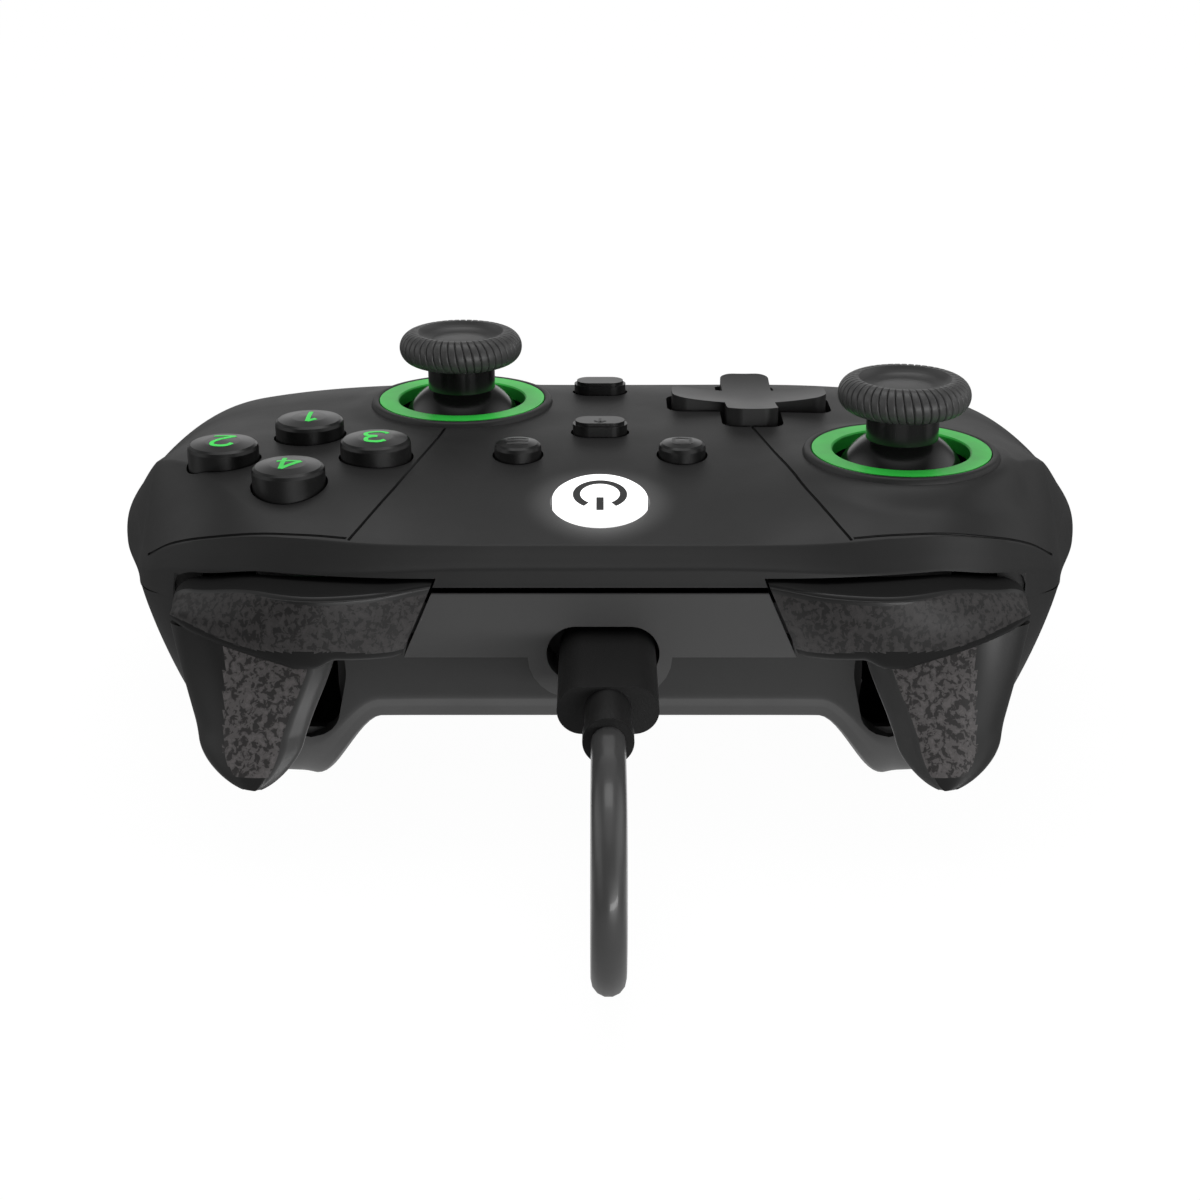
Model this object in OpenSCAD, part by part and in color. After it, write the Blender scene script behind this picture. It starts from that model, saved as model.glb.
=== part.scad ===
// Wired gamepad controller with offset sticks, as an assembly of separate moving pieces.
// Millimetres. +X to the player's left hand, -Y to the trigger side, +Z up, grips resting on z = 0.

/* [Case] */
// Widest distance across the two grips
case_w = 150; // [144:1:158]
// Height of the flat of the face over the table
face_z = 45.3; // [43:0.1:48]
// Height of the parting line at the middle of the front
seam_z = 35.4; // [34:0.1:37]
// How far the parting line falls from there to the shoulders
seam_drop = 5.4; // [3:0.1:7]
// Clear height under the middle of the case
belly_z = 12; // [10:0.5:15]
// Front of the top shell, forward of the origin
front_reach = 44; // [42:0.5:47]
// Front wall of the bottom shell, forward of the origin
wall_reach = 38; // [36:0.5:40]
// Back edge between the grips, behind the origin
arch_reach = 33; // [30:0.5:36]
// End of the grips, behind the origin
grip_reach = 52; // [48:0.5:56]
// Wall of both shells
wall = 2.2; // [1.6:0.1:3]
// Gap along the parting line
seam_gap = 0.4; // [0.2:0.05:0.6]

/* [Sticks] */
// Left stick, sideways from the middle
left_stick_x = 42.6; // [40:0.2:45]
// Left stick, forward of the origin
left_stick_fwd = 17; // [15:0.2:19]
// Right stick, sideways from the middle
right_stick_x = 21.2; // [19:0.2:24]
// Right stick, behind the origin
right_stick_back = 9.7; // [8:0.2:12]
// Outside of the coloured ring
ring_d = 25.2; // [24:0.2:27]
// Opening of the coloured ring
ring_bore = 19.4; // [18.8:0.2:20.5]
// Width of the raised black rim round the ring
rim_w = 1; // [0.6:0.1:2]
// Height of the ring's top over the face
ring_rise = 0.9; // [0.6:0.1:2]
// Thickness of the ring
ring_t = 2; // [1.2:0.1:3]
// Width of the stick cap
cap_d = 18.6; // [17:0.2:20]
// Thickness of the cap's rim
cap_h = 4.8; // [4:0.1:6]
// Top of the stick cap over the table
stick_top = 57.2; // [55:0.1:60]
// Post under the cap
post_d = 10.2; // [9:0.1:11]
// Dome that closes the ring's opening
dome_d = 19.6; // [19:0.1:20.4]
// Height of the tilt axes over the table
pivot_z = 39.6; // [38.5:0.1:40.5]
// Grooves round the cap's rim
cap_grooves = 40; // [20:1:60]

/* [Buttons] */
// Width of a face button
face_button_d = 10; // [9:0.1:11]
// Distance from the middle of the cluster to each face button
cluster_r = 10.8; // [10:0.1:12]
// Middle of the cluster, sideways
cluster_x = 42.5; // [40:0.5:45]
// Middle of the cluster, forward of the origin
cluster_fwd = 17; // [15:0.5:19]
// How far the face buttons stand over the face
face_button_rise = 2.7; // [2:0.1:4]
// Travel of the face buttons
face_button_travel = 1.4; // [1:0.1:1.8]
// Direction pad, tip to tip
dpad_w = 23.5; // [21:0.5:25]
// Width of its arms
dpad_arm = 7.6; // [6.5:0.1:9]
// Direction pad, sideways from the middle
dpad_x = 22.8; // [20:0.2:24]
// Direction pad, behind the origin
dpad_back = 9.7; // [8:0.2:11]
// How far the direction pad stands over the face
dpad_rise = 1.8; // [1.5:0.1:3]
// Width of the home button
home_d = 13; // [11:0.5:15]
// Home button, forward of the origin
home_fwd = 30; // [27:0.5:32]
// Width of the menu and view buttons
small_d = 6.7; // [6:0.1:8]
// Menu and view buttons, sideways from the middle
small_x = 11.7; // [10.5:0.1:13]
// Menu and view buttons, forward of the origin
small_fwd = 15; // [13:0.5:17]
// Length of the share and mode buttons
pill_len = 8; // [7:0.1:9]
// Width of the share and mode buttons
pill_w = 4.6; // [4:0.1:5]
// Share button, forward of the origin
share_fwd = 5.5; // [4:0.5:7]
// Mode button, behind the origin
mode_back = 16.5; // [14:0.5:18]
// Travel of the home, menu, view, share and mode buttons
small_travel = 0.6; // [0.4:0.1:1]
// Play between a button and its hole
button_play = 0.3; // [0.2:0.05:0.5]

/* [Shoulders] */
// Inner end of a bumper, at its top
bumper_in = 22; // [20:0.5:24]
// Outer end of a bumper
bumper_out = 58; // [56:0.5:60]
// Thickness of a bumper, front to back
bumper_t = 4; // [3:0.1:5]
// Gap round the bumpers and the triggers
shoulder_gap = 0.5; // [0.4:0.1:1]
// Bumper hinge, sideways from the middle
bumper_pin_x = 18.5; // [16:0.5:20]
// Bumper hinge, forward of the origin
bumper_pin_fwd = 40.6; // [40:0.1:42]
// Bumper hinge pin
bumper_pin_d = 2; // [1.6:0.1:2.4]
// Lowest point of a trigger
trigger_tip_z = 9.9; // [8:0.1:12]
// Front of a trigger at its tip, forward of the origin
trigger_reach = 52; // [49:0.5:54]
// Trigger hinge, forward of the origin
trigger_pin_fwd = 31; // [29:0.5:33]
// Trigger hinge, over the table
trigger_pin_z = 28; // [27:0.5:28.5]
// Trigger hinge pin
trigger_pin_d = 2.4; // [2:0.1:3]

/* [Cable] */
// Width of the plug body
plug_w = 12.8; // [11:0.1:14]
// Thickness of the plug body
plug_h = 6.4; // [5.5:0.1:7.2]
// Length of the plug body
plug_len = 21; // [18:0.5:24]
// Plug, sideways from the middle
plug_x = 1; // [0:0.1:1.5]
// Height of the plug over the table
plug_z = 26.2; // [25.6:0.1:26.8]
// Thickness of the cable
cable_d = 4.2; // [3.5:0.1:5]
// Length of the whole cable
cable_len = 3000; // [2000:100:3500]

/* [Inside] */
// Thickness of the circuit board
board_t = 1.6; // [1:0.1:2]
// Top of the circuit board over the table
board_z = 29.4; // [29:0.1:30]
// Side of a stick module
module_w = 14; // [13:0.1:14.4]
// Bore of the headset socket
jack_bore = 3.6; // [3.5:0.1:3.8]
// Thread of the case screws
screw_d = 2.5; // [2:0.1:3]
// Head of the case screws
screw_head_d = 4.6; // [4:0.1:5]

/* [Hidden] */
$fn = 64;
eps = 0.01;

// Colours as the photo shows them
case_black = [0.16, 0.16, 0.17];
soft_black = [0.10, 0.10, 0.11];
gloss_black = [0.05, 0.05, 0.06];
ring_green = [0.30, 0.72, 0.36];
lens_white = [0.96, 0.97, 0.98];
board_green = [0.08, 0.30, 0.16];
metal = [0.72, 0.73, 0.75];
rubber_grey = [0.45, 0.46, 0.48];

// Small helpers for curves
function lerp(a, b, t) = a + (b - a) * t;
function clamp01(t) = min(1, max(0, t));
function ease(a, b, x) = let (t = clamp01((x - a) / (b - a))) t * t * (3 - 2 * t);
function bez(p, t) =
    p[0] * pow(1 - t, 3) + p[1] * 3 * t * pow(1 - t, 2)
    + p[2] * 3 * t * t * (1 - t) + p[3] * pow(t, 3);

// Plan of the parting line on the +X side, from the middle of the front round to the widest point
side_x = case_w / 2;
side_y = 17;
flat_x = 24;
shoulder = [66, -20];
tip_x = 57;
inner_grip = [35, 39];
front_share = 0.3;
shoulder_share = 0.8;
function front_plan(u, reach) =
    u < front_share ? [flat_x * u / front_share, -reach] :
    u < shoulder_share ?
        bez([[flat_x, -reach], [44, -reach], [61.5, -39], shoulder],
            (u - front_share) / (shoulder_share - front_share)) :
    bez([shoulder, [69, -7.3], [side_x, 4], [side_x, side_y]],
        (u - shoulder_share) / (1 - shoulder_share));
inner_share = 0.44;
tip_share = 0.74;
function rear_plan(u) =
    u < inner_share ?
        bez([[0, arch_reach], [14, arch_reach], [26, 33.5], inner_grip], u / inner_share) :
    u < tip_share ?
        bez([inner_grip, [41.5, 43], [46, grip_reach], [tip_x, grip_reach]],
            (u - inner_share) / (tip_share - inner_share)) :
    bez([[tip_x, grip_reach], [67, grip_reach], [side_x, 35], [side_x, side_y]],
        (u - tip_share) / (1 - tip_share));

// Height of the parting line along the front and along the back
side_seam_z = 25;
tip_seam_z = 18;
arch_seam_z = 31;
function front_seam(x) =
    seam_z - seam_drop * ease(flat_x, 58, x)
    - (seam_z - seam_drop - side_seam_z) * ease(58, side_x, x);
function rear_seam(u) =
    u < tip_share ? lerp(arch_seam_z, tip_seam_z, ease(0.1, tip_share, u)) :
    lerp(tip_seam_z, side_seam_z, ease(tip_share, 1, u));

// Height of the face: the middle slopes to the front, the sides under the sticks and the buttons stay
// flat and roll over late; both fall to the arch and to the flanks
camber_front = 1e-7;
camber_back = 2.7e-7;
flank_x = 54;
side_from = 14;
side_to = 36;
function face_back(y) = face_z - 0.0095 * pow(max(0, y - 14), 2);
function face_mid(y) = face_back(y) - 0.00146 * pow(max(0, -y), 2.2);
function face_side(y) = face_back(y) - 4.6 * pow(max(0, -y - 22) / 18, 2.2);
function flank(x, from, a, b) =
    let (t = clamp01((abs(x) - from) / (side_x - from))) pow(1 - pow(t, a), b);
function face_at(x, y) =
    lerp(face_mid(y), face_side(y), ease(side_from, side_to, abs(x)))
    - lerp(camber_front, camber_back, ease(-12, 14, y)) * pow(x, 4);
function face_height(x, y, seam) =
    seam + (face_at(x, y) - seam) * flank(x, flank_x, 2.4, 0.55);

// Height of the underside: a raised belly between two grips that touch the table
leg_from = 29;
leg_to = 41;
foot_front = -22;
foot_back = 26;
front_tuck = 10;
function belly(y) = belly_z + 0.012 * pow(max(0, y - 4), 2);
function foot(y) =
    0.012 * pow(max(0, foot_front - y), 2) + 0.012 * pow(max(0, y - foot_back), 2);
function under_height(x, y, seam) =
    let (
        base = lerp(belly(y), foot(y), ease(leg_from, leg_to, abs(x))),
        tuck = front_tuck * ease(18, -22, y)
    )
    seam - (seam - base) * flank(abs(x) + tuck, 58, 1.7, 0.7);

// Sections across the case: [share of the way in, share of the height] at the front and back edges
u_rows = [
    0.98, 0.95, 0.91, 0.87, 0.83, 0.79, 0.75, 0.71, 0.67, 0.63, 0.59, 0.55, 0.51, 0.47, 0.43,
    0.38, 0.32, 0.24, 0.12
];
rows = concat([for (u = u_rows) -u], [0], [for (i = [len(u_rows) - 1:-1:0]) u_rows[i]]);
crease_in = [0, 0.4, 0.8, 2.1, 3.5];
crease_up = [0, 0.3, 0.59, 0.8, 1];
round_steps = [0, 18, 36, 54, 74];
face_steps = [for (i = [1:8]) i / 9];
back_steps = [90, 70, 52, 36, 22, 10, 0];

function roundness(x) = ease(54, 68, x);
function front_edge(k, x, length) =
    let (w = min(14, 0.35 * length), r = roundness(x))
    [lerp(crease_in[k], w * (1 - cos(round_steps[k])), r),
     lerp(crease_up[k], sin(round_steps[k]), r)];
function back_edge(a, x, length) =
    let (w = min(lerp(10, 17, ease(30, 50, x)), 0.45 * length))
    [w * (1 - cos(a)), pow(sin(a), 0.85)];

// One point of a shell: s along the section, up from the seam by a share of the full height
function on_section(f, r, s, inset) =
    let (length = norm(r - f), t = (inset + s * (length - 2 * inset) / length) / length)
    lerp(f, r, t);
function shell_point(u, s, share, inset, top) =
    let (
        v = abs(u),
        reach = top ? front_reach : wall_reach,
        f = front_plan(v, reach),
        r = rear_plan(v),
        p0 = on_section(f, r, s, 0),
        p = on_section(f, r, s, inset),
        seam = lerp(front_seam(f[0]), rear_seam(v), s / norm(r - f)),
        rim = seam + (top ? seam_gap / 2 : -seam_gap / 2),
        end = top ? face_height(p0[0], p0[1], seam) - inset : under_height(p0[0], p0[1], seam) + inset,
        slim = (side_x - inset) / side_x
    )
    [sign(u == 0 ? 1 : u) * p[0] * slim, p[1], lerp(rim, end, share)];

function top_row(u, inset) =
    let (
        v = abs(u),
        f = front_plan(v, front_reach),
        length = norm(rear_plan(v) - f),
        front = [for (k = [0:4]) front_edge(k, f[0], length)],
        back = [for (a = back_steps) back_edge(a, rear_plan(v)[0], length)],
        s0 = front[4][0],
        s1 = length - back[0][0]
    )
    concat(
        [for (e = front) shell_point(u, e[0], e[1], inset, true)],
        [for (t = face_steps)
            shell_point(u, lerp(s0, s1, t), lerp(front[4][1], 1, min(1, 3 * t)), inset, true)],
        [for (e = back) shell_point(u, length - e[0], e[1], inset, true)]
    );

wall_steps = [0, 20, 38, 54, 70, 90];
function under_front(a, x, length) =
    let (
        w = min(lerp(8, 13, ease(leg_from, leg_to, x)), 0.45 * length),
        p = lerp(0.5, 0.72, ease(leg_from, leg_to, x))
    )
    [w * pow(1 - cos(a), 1 / p / 1.4), pow(sin(a), p)];
function bottom_row(u, inset) =
    let (
        v = abs(u),
        f = front_plan(v, wall_reach),
        length = norm(rear_plan(v) - f),
        front = [for (a = wall_steps) under_front(a, f[0], length)],
        back = [for (a = back_steps) back_edge(a, rear_plan(v)[0], length)],
        s0 = front[5][0],
        s1 = length - back[0][0]
    )
    concat(
        [for (e = front) shell_point(u, e[0], e[1], inset, false)],
        [for (t = face_steps) shell_point(u, lerp(s0, s1, t), 1, inset, false)],
        [for (e = back) shell_point(u, length - e[0], e[1], inset, false)]
    );

// A cup from an outer and an inner skin that share the seam's rows, closed at two side points
function skin_faces(first, n_rows, n_cols, a, b, turn) = concat(
    [for (i = [0:n_rows - 2]) for (j = [0:n_cols - 2])
        let (p = first + i * n_cols + j, q = p + n_cols)
        for (f = [[p, p + 1, q + 1], [p, q + 1, q]]) turn ? [f[2], f[1], f[0]] : f],
    [for (j = [0:n_cols - 2])
        let (p = first + j, q = first + (n_rows - 1) * n_cols + j)
        for (f = [[a, p + 1, p], [b, q, q + 1]]) turn ? [f[2], f[1], f[0]] : f]
);
module cup(outer, inner, outer_ends, inner_ends, turn) {
    n = len(outer);
    cols = len(outer[0]);
    points = concat(outer_ends, inner_ends, [for (r = outer) each r], [for (r = inner) each r]);
    o = 4;
    k = 4 + n * cols;
    rim = concat(
        [for (i = [0:n - 2]) for (j = [0, cols - 1])
            let (p = o + i * cols + j, q = k + i * cols + j)
            for (f = [[p, p + cols, q + cols], [p, q + cols, q]]) j > 0 ? [f[2], f[1], f[0]] : f],
        [for (e = [0, 1]) for (j = [0, cols - 1])
            let (row = e * (n - 1) * cols, p = o + row + j, q = k + row + j,
                 flip = (e == 0) == (j == 0))
            for (f = [[e, p, q], [e, q, e + 2]]) flip ? f : [f[2], f[1], f[0]]]
    );
    faces = concat(
        skin_faces(o, n, cols, 0, 1, false),
        skin_faces(k, n, cols, 2, 3, true),
        rim
    );
    polyhedron(points, turn ? [for (f = faces) [f[2], f[1], f[0]]] : faces);
}
function side_point(e, inset, gap) = [e * (side_x - inset), side_y, side_seam_z + gap];
module shell_cup(top) {
    gap = (top ? 1 : -1) * seam_gap / 2;
    cup(
        [for (u = rows) top ? top_row(u, 0) : bottom_row(u, 0)],
        [for (u = rows) top ? top_row(u, wall) : bottom_row(u, wall)],
        [for (e = [-1, 1]) side_point(e, 0, gap)],
        [for (e = [-1, 1]) side_point(e, wall, gap)],
        !top
    );
}

// A solid through a row of rings with the same number of points
module loft(rings) {
    n = len(rings);
    m = len(rings[0]);
    polyhedron(
        [for (r = rings) each r],
        concat(
            [[for (j = [0:m - 1]) j]],
            [[for (j = [m - 1:-1:0]) (n - 1) * m + j]],
            [for (i = [0:n - 2]) for (j = [0:m - 1])
                let (k = (j + 1) % m, p = i * m, q = p + m)
                each [[p + j, q + j, q + k], [p + j, q + k, p + k]]]
        )
    );
}

// A round bar along X or Y, and an outline drawn in X and Z that is pushed along Y
module bar_x(r, x0, x1, y, z) translate([x0, y, z]) rotate([0, 90, 0]) cylinder(r = r, h = x1 - x0);
module bar_y(r, y0, y1, x, z) translate([x, y1, z]) rotate([90, 0, 0]) cylinder(r = r, h = y1 - y0);
module along_y(y0, y1) translate([0, y1, 0]) rotate([90, 0, 0]) linear_extrude(y1 - y0) children();
module along_x(x0, x1) translate([x0, 0, 0]) rotate([90, 0, 90]) linear_extrude(x1 - x0) children();
module block(low, high) translate(low) cube(high - low);
module stadium(w, h) {
    square([w - h, h], center = true);
    for (e = [-1, 1]) translate([e * (w - h) / 2, 0]) circle(d = h);
}
module both_sides() {
    children();
    mirror([1, 0, 0]) children();
}

// Places of the controls
left_stick_at = [left_stick_x, -left_stick_fwd];
right_stick_at = [-right_stick_x, right_stick_back];
cluster_at = [-cluster_x, -cluster_fwd];
dpad_at = [dpad_x, dpad_back];
ring_top = face_z + ring_rise;
button_dirs = [[0, 1], [-1, 0], [1, 0], [0, -1]];
function button_at(n) = cluster_at + cluster_r * button_dirs[n - 1];
function button_face(n) = face_at(button_at(n)[0], button_at(n)[1]);
home_tilt = 12;
home_at = [0, -home_fwd, face_mid(-home_fwd)];
menu_at = [-small_x, -small_fwd];
view_at = [small_x, -small_fwd];
share_at = [0, -share_fwd];
mode_at = [0, mode_back];

// Screw places: four round the board and one in each grip
board_screws = [[39, 2], [-36, 4], [12, -26], [-12, -26]];
grip_screws = [[61, 30], [-61, 30]];
screw_bore_r = screw_d / 2 + 0.2;
boss_r = screw_head_d / 2 + 1.4;
pilot_r = screw_d / 2 - 0.2;
head_seat_z = 20;
function boss_foot(at) = under_height(at[0] + sign(at[0]) * boss_r, at[1], seam_z) + 1;
grip_seat_z = 9;
grip_split_z = 22;

// Raised rim that carries a stick ring
rim_foot_z = 40;
seat_lip = 1.4;
module stick_rim() {
    r = ring_d / 2 + rim_w;
    rotate_extrude() polygon([
        [ring_d / 2 - seat_lip - 1, rim_foot_z], [ring_d / 2 - seat_lip - 1, ring_top], [r, ring_top],
        [r + 0.4, ring_top - 0.5], [r + 1, ring_top - 2.6], [r + 2.2, ring_top - 4.6],
        [r + 2.2, rim_foot_z]
    ]);
}
ring_play = 0.1;
module stick_opening() {
    translate([0, 0, ring_top - ring_t]) cylinder(r = ring_d / 2 + ring_play, h = 10);
    translate([0, 0, rim_foot_z - 10]) cylinder(r = ring_d / 2 - seat_lip, h = 20);
}
module through(at, r) translate([at[0], at[1], 34]) cylinder(r = r, h = 20);
module through_pill(at) translate([at[0], at[1], 34])
    linear_extrude(20) stadium(pill_len + 2 * button_play, pill_w + 2 * button_play);
dpad_play = 0.8;
dpad_round = 2.2;
module rounded_bar(w, h, r) {
    square([w - 2 * r, h], center = true);
    square([w, h - 2 * r], center = true);
    for (x = [-1, 1]) for (y = [-1, 1]) translate([x * (w / 2 - r), y * (h / 2 - r)]) circle(r);
}
module plus_shape(w, arm, r) {
    rounded_bar(w, arm, r);
    rounded_bar(arm, w, r);
}

// Outline of a bumper seen from the front, on the +X side
bumper_top = 36.2;
bumper_top_out = 34.2;
bumper_slant = 4.4;
bumper_path = [[bumper_in, -44.4], [34, -50.5], [46, -50], [bumper_out, -38.4]];
bumper_foot = [26, 26.8, 25.7, 29.4];
function bumper_low(x) = x < 40
    ? lerp(bumper_foot[0], bumper_foot[1], clamp01((x - 24) / 9.5))
        - (bumper_foot[1] - bumper_foot[2]) * ease(33.5, 37, x)
    : lerp(bumper_foot[2], bumper_foot[3], pow(clamp01((x - 40) / (bumper_out - 40)), 0.8));
bumper_taper = 0.35;
function bumper_high(x) = lerp(bumper_top, bumper_top_out, ease(44, bumper_out, x));
function panel_end(z) = bumper_in + bumper_slant * (bumper_top - z) / (bumper_top - bumper_foot[0]);
bumper_xs = [33.5, 35.2, 37, 40, 44, 48, 52, 56];
module bumper_window(g) polygon(concat(
    [[panel_end(bumper_top) - g, bumper_top + g], [panel_end(bumper_foot[0]) - g, bumper_foot[0] - g]],
    [for (x = bumper_xs) [x, bumper_low(x) - g]],
    [[bumper_out + g, lerp(bumper_foot[3], bumper_top_out, bumper_taper / 2) - g],
     [bumper_out + g, lerp(bumper_top_out, bumper_foot[3], bumper_taper / 2) + g]],
    [for (i = [len(bumper_xs) - 1:-1:2]) [bumper_xs[i], bumper_high(bumper_xs[i]) + g]]
));
bumper_bay_back = -33.4;

// Outline of a trigger seen from the front, on the +X side
trigger_top_z = 26.4;
trigger_span = trigger_top_z - trigger_tip_z;
function trigger_half(z) =
    (6.3 + 0.29 * (z - trigger_tip_z))
    * sqrt(1 - pow(clamp01((trigger_tip_z + 4.6 - z) / 4.61), 2));
function trigger_mid(z) = 45 + 0.08 * (z - trigger_tip_z);
function trigger_front(z) =
    -trigger_reach + 10 * pow(clamp01((z - trigger_tip_z) / trigger_span), 0.9);
function trigger_depth(z) = 3.4 + 3.2 * clamp01((z - trigger_tip_z) / trigger_span);
bay_zs = [trigger_top_z, 22, 18, 15, 13, 11.5, 10.4];
bay_slot = 1.3;
module trigger_window(g) polygon(concat(
    [[trigger_mid(trigger_top_z) - trigger_half(trigger_top_z) - g, 34],
     [trigger_mid(trigger_top_z) + trigger_half(trigger_top_z) + g + 0.6, 34]],
    [for (z = bay_zs) [trigger_mid(z) + trigger_half(z) + g, z - g]],
    [for (i = [len(bay_zs) - 1:-1:0])
        let (z = bay_zs[i], slot = bay_slot * ease(trigger_top_z, 20, z))
        [trigger_mid(z) - trigger_half(z) - slot - g, z - g]]
));
trigger_in = 36.8;
trigger_outer = 53.2;
trigger_pin_at = [-trigger_pin_fwd, trigger_pin_z];
bay_back = -24;
module shoulder_bays() both_sides() {
    along_y(-60, bumper_bay_back) bumper_window(shoulder_gap);
    along_y(-60, -34) trigger_window(shoulder_gap);
    intersection() {
        along_y(-60, bay_back) trigger_window(shoulder_gap);
        block([trigger_in - shoulder_gap, -60, 0], [trigger_outer + shoulder_gap, 0, 34]);
    }
}

module top_shell() color(case_black) difference() {
    union() {
        shell_cup(true);
        for (at = [left_stick_at, right_stick_at]) translate(at) stick_rim();
        for (at = board_screws)
            translate([at[0], at[1], board_z])
                cylinder(r = boss_r, h = face_at(at[0], at[1]) - board_z - 1);
        for (at = grip_screws)
            translate([at[0], at[1], grip_split_z]) cylinder(r = boss_r, h = 13);
    }
    for (at = [left_stick_at, right_stick_at]) translate(at) stick_opening();
    for (n = [1:4]) through(button_at(n), face_button_d / 2 + button_play);
    for (at = [menu_at, view_at]) through(at, small_d / 2 + button_play);
    for (at = [share_at, mode_at]) through_pill(at);
    translate(home_at) rotate([home_tilt, 0, 0])
        cylinder(r = home_d / 2 + button_play, h = 16, center = true);
    translate([dpad_at[0], dpad_at[1], 34])
        linear_extrude(20)
            plus_shape(dpad_w + 2 * dpad_play, dpad_arm + 2 * dpad_play, dpad_round);
    for (at = board_screws) translate([at[0], at[1], board_z - 1]) cylinder(r = pilot_r, h = 7);
    for (at = grip_screws) translate([at[0], at[1], grip_split_z - 1]) cylinder(r = pilot_r, h = 8);
    shoulder_bays();
    headset_cut();
}

// Side walls of a trigger's bay, which carry its pin
bay_wall_t = 2;
outer_wall_t = 3.8;
module bay_wall(x, low, t) along_x(x, x + t) polygon([
    trigger_pin_at + [-2.6, 1.2], trigger_pin_at + [1.6, 3], trigger_pin_at + [4.4, 3],
    [trigger_pin_at[0] + 4.4, low],
    [trigger_pin_at[0] + 2, low], [trigger_pin_at[0] - 2.6, low + 9]
]);
socket_w = 9.2;
socket_h = 3.2;
socket_front = -39.4;
module bottom_shell() color(case_black) difference() {
    union() {
        shell_cup(false);
        both_sides() {
            bay_wall(trigger_in - shoulder_gap - bay_wall_t, 8.4, bay_wall_t);
            bay_wall(trigger_outer + shoulder_gap, 10, outer_wall_t);
        }
        for (at = board_screws)
            translate([at[0], at[1], boss_foot(at)])
                cylinder(r = boss_r, h = board_z - board_t - boss_foot(at));
        for (at = grip_screws)
            translate([at[0], at[1], 2]) cylinder(r = boss_r, h = grip_split_z - 2);
    }
    shoulder_bays();
    both_sides()
        bar_x(trigger_pin_d / 2, pin_ends[0] - 1, pin_ends[1] + 1, trigger_pin_at[0], trigger_pin_at[1]);
    along_y(-45, -33) translate([plug_x, plug_z]) square([socket_w + 0.6, socket_h + 0.6], center = true);
    for (at = board_screws) {
        translate([at[0], at[1], 0]) cylinder(r = screw_head_d / 2 + 0.2, h = head_seat_z);
        translate([at[0], at[1], 0]) cylinder(r = screw_bore_r, h = 40);
    }
    for (at = grip_screws) {
        translate([at[0], at[1], -5]) cylinder(r = screw_head_d / 2 + 0.2, h = grip_seat_z + 5);
        translate([at[0], at[1], 0]) cylinder(r = screw_bore_r, h = 40);
    }
    headset_cut();
}
// Headset socket on the back of the board, in the parting line between the grips
jack_w = 6.4;
jack_z = board_z + jack_w / 2;
jack_front = 20.8;
jack_end = 32.2;
module headset_cut() bar_y(jack_w / 2 + 0.2, board_back, 45, 0, jack_z);
module headset_socket() color(gloss_black) difference() {
    union() {
        bar_y(jack_w / 2, board_back - 1, jack_end, 0, jack_z);
        block([-jack_w / 2, jack_front, board_z], [jack_w / 2, board_back, board_z + jack_w]);
    }
    bar_y(jack_bore / 2, jack_front + 1.2, 40, 0, jack_z);
}

// Front panel with the cable recess in its tongue
panel_low = 25.7;
tongue_low = 19.8;
recess_w = 15;
recess_h = 7.8;
recess_x = 0.4;
panel_high = seam_z - seam_gap;
bumper_slot = [28.2, 33.2];
function tongue(a) = [3.6 + 6 * cos(a), panel_low - (panel_low - tongue_low) * sin(a)];
panel_half = concat(
    [[panel_end(panel_high) - shoulder_gap, panel_high], [panel_end(panel_low) - shoulder_gap, panel_low]],
    [for (a = [0:15:90]) tongue(a)]
);
module front_panel() color(case_black) difference() {
    along_y(-front_reach, -wall_reach) polygon(concat(
        panel_half, [for (i = [len(panel_half) - 1:-1:0]) [-panel_half[i][0], panel_half[i][1]]]
    ));
    along_y(-front_reach - 1, -wall_reach + 1) translate([recess_x, plug_z]) stadium(recess_w, recess_h);
    both_sides() {
        block([bumper_pin_x - 3.2, -front_reach + 1, bumper_slot[0]],
              [30, -wall_reach + 1, bumper_slot[1]]);
        bumper_pin();
    }
}

module screw(at, seat, tip) translate([at[0], at[1], 0]) {
    translate([0, 0, seat - 1.8]) cylinder(d = screw_head_d, h = 1.8);
    translate([0, 0, seat - eps]) cylinder(d = 2 * pilot_r, h = tip - seat + eps);
}
module case_screws() color(metal) {
    for (at = board_screws) screw(at, head_seat_z, board_z + 5.5);
    for (at = grip_screws) screw(at, grip_seat_z, grip_split_z + 6);
}

// Circuit board: middle field, two wings under the left stick and the face buttons
board_front = -35.4;
board_back = 27;
wing_x = 57;
wing_front = -23.4;
wing_back = 8;
module main_board() color(board_green) difference() {
    translate([0, 0, board_z - board_t]) linear_extrude(board_t) difference() {
        union() {
            translate([-30.5, board_front]) square([61, board_back - board_front]);
            translate([-wing_x, wing_front]) square([2 * wing_x, wing_back - wing_front]);
        }
        for (at = board_screws) translate(at) circle(r = screw_bore_r);
    }
}

module cable_socket() color(metal) translate([0, 0, plug_z]) difference() {
    along_y(socket_front, -30) translate([plug_x, 0]) stadium(socket_w, socket_h);
    difference() {
        along_y(socket_front - 1, -30.6) translate([plug_x, 0]) stadium(socket_w - 0.5, socket_h - 0.5);
        along_y(socket_front + 0.8, -30) translate([plug_x, 0]) square([6.6, 0.7], center = true);
    }
}

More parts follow.
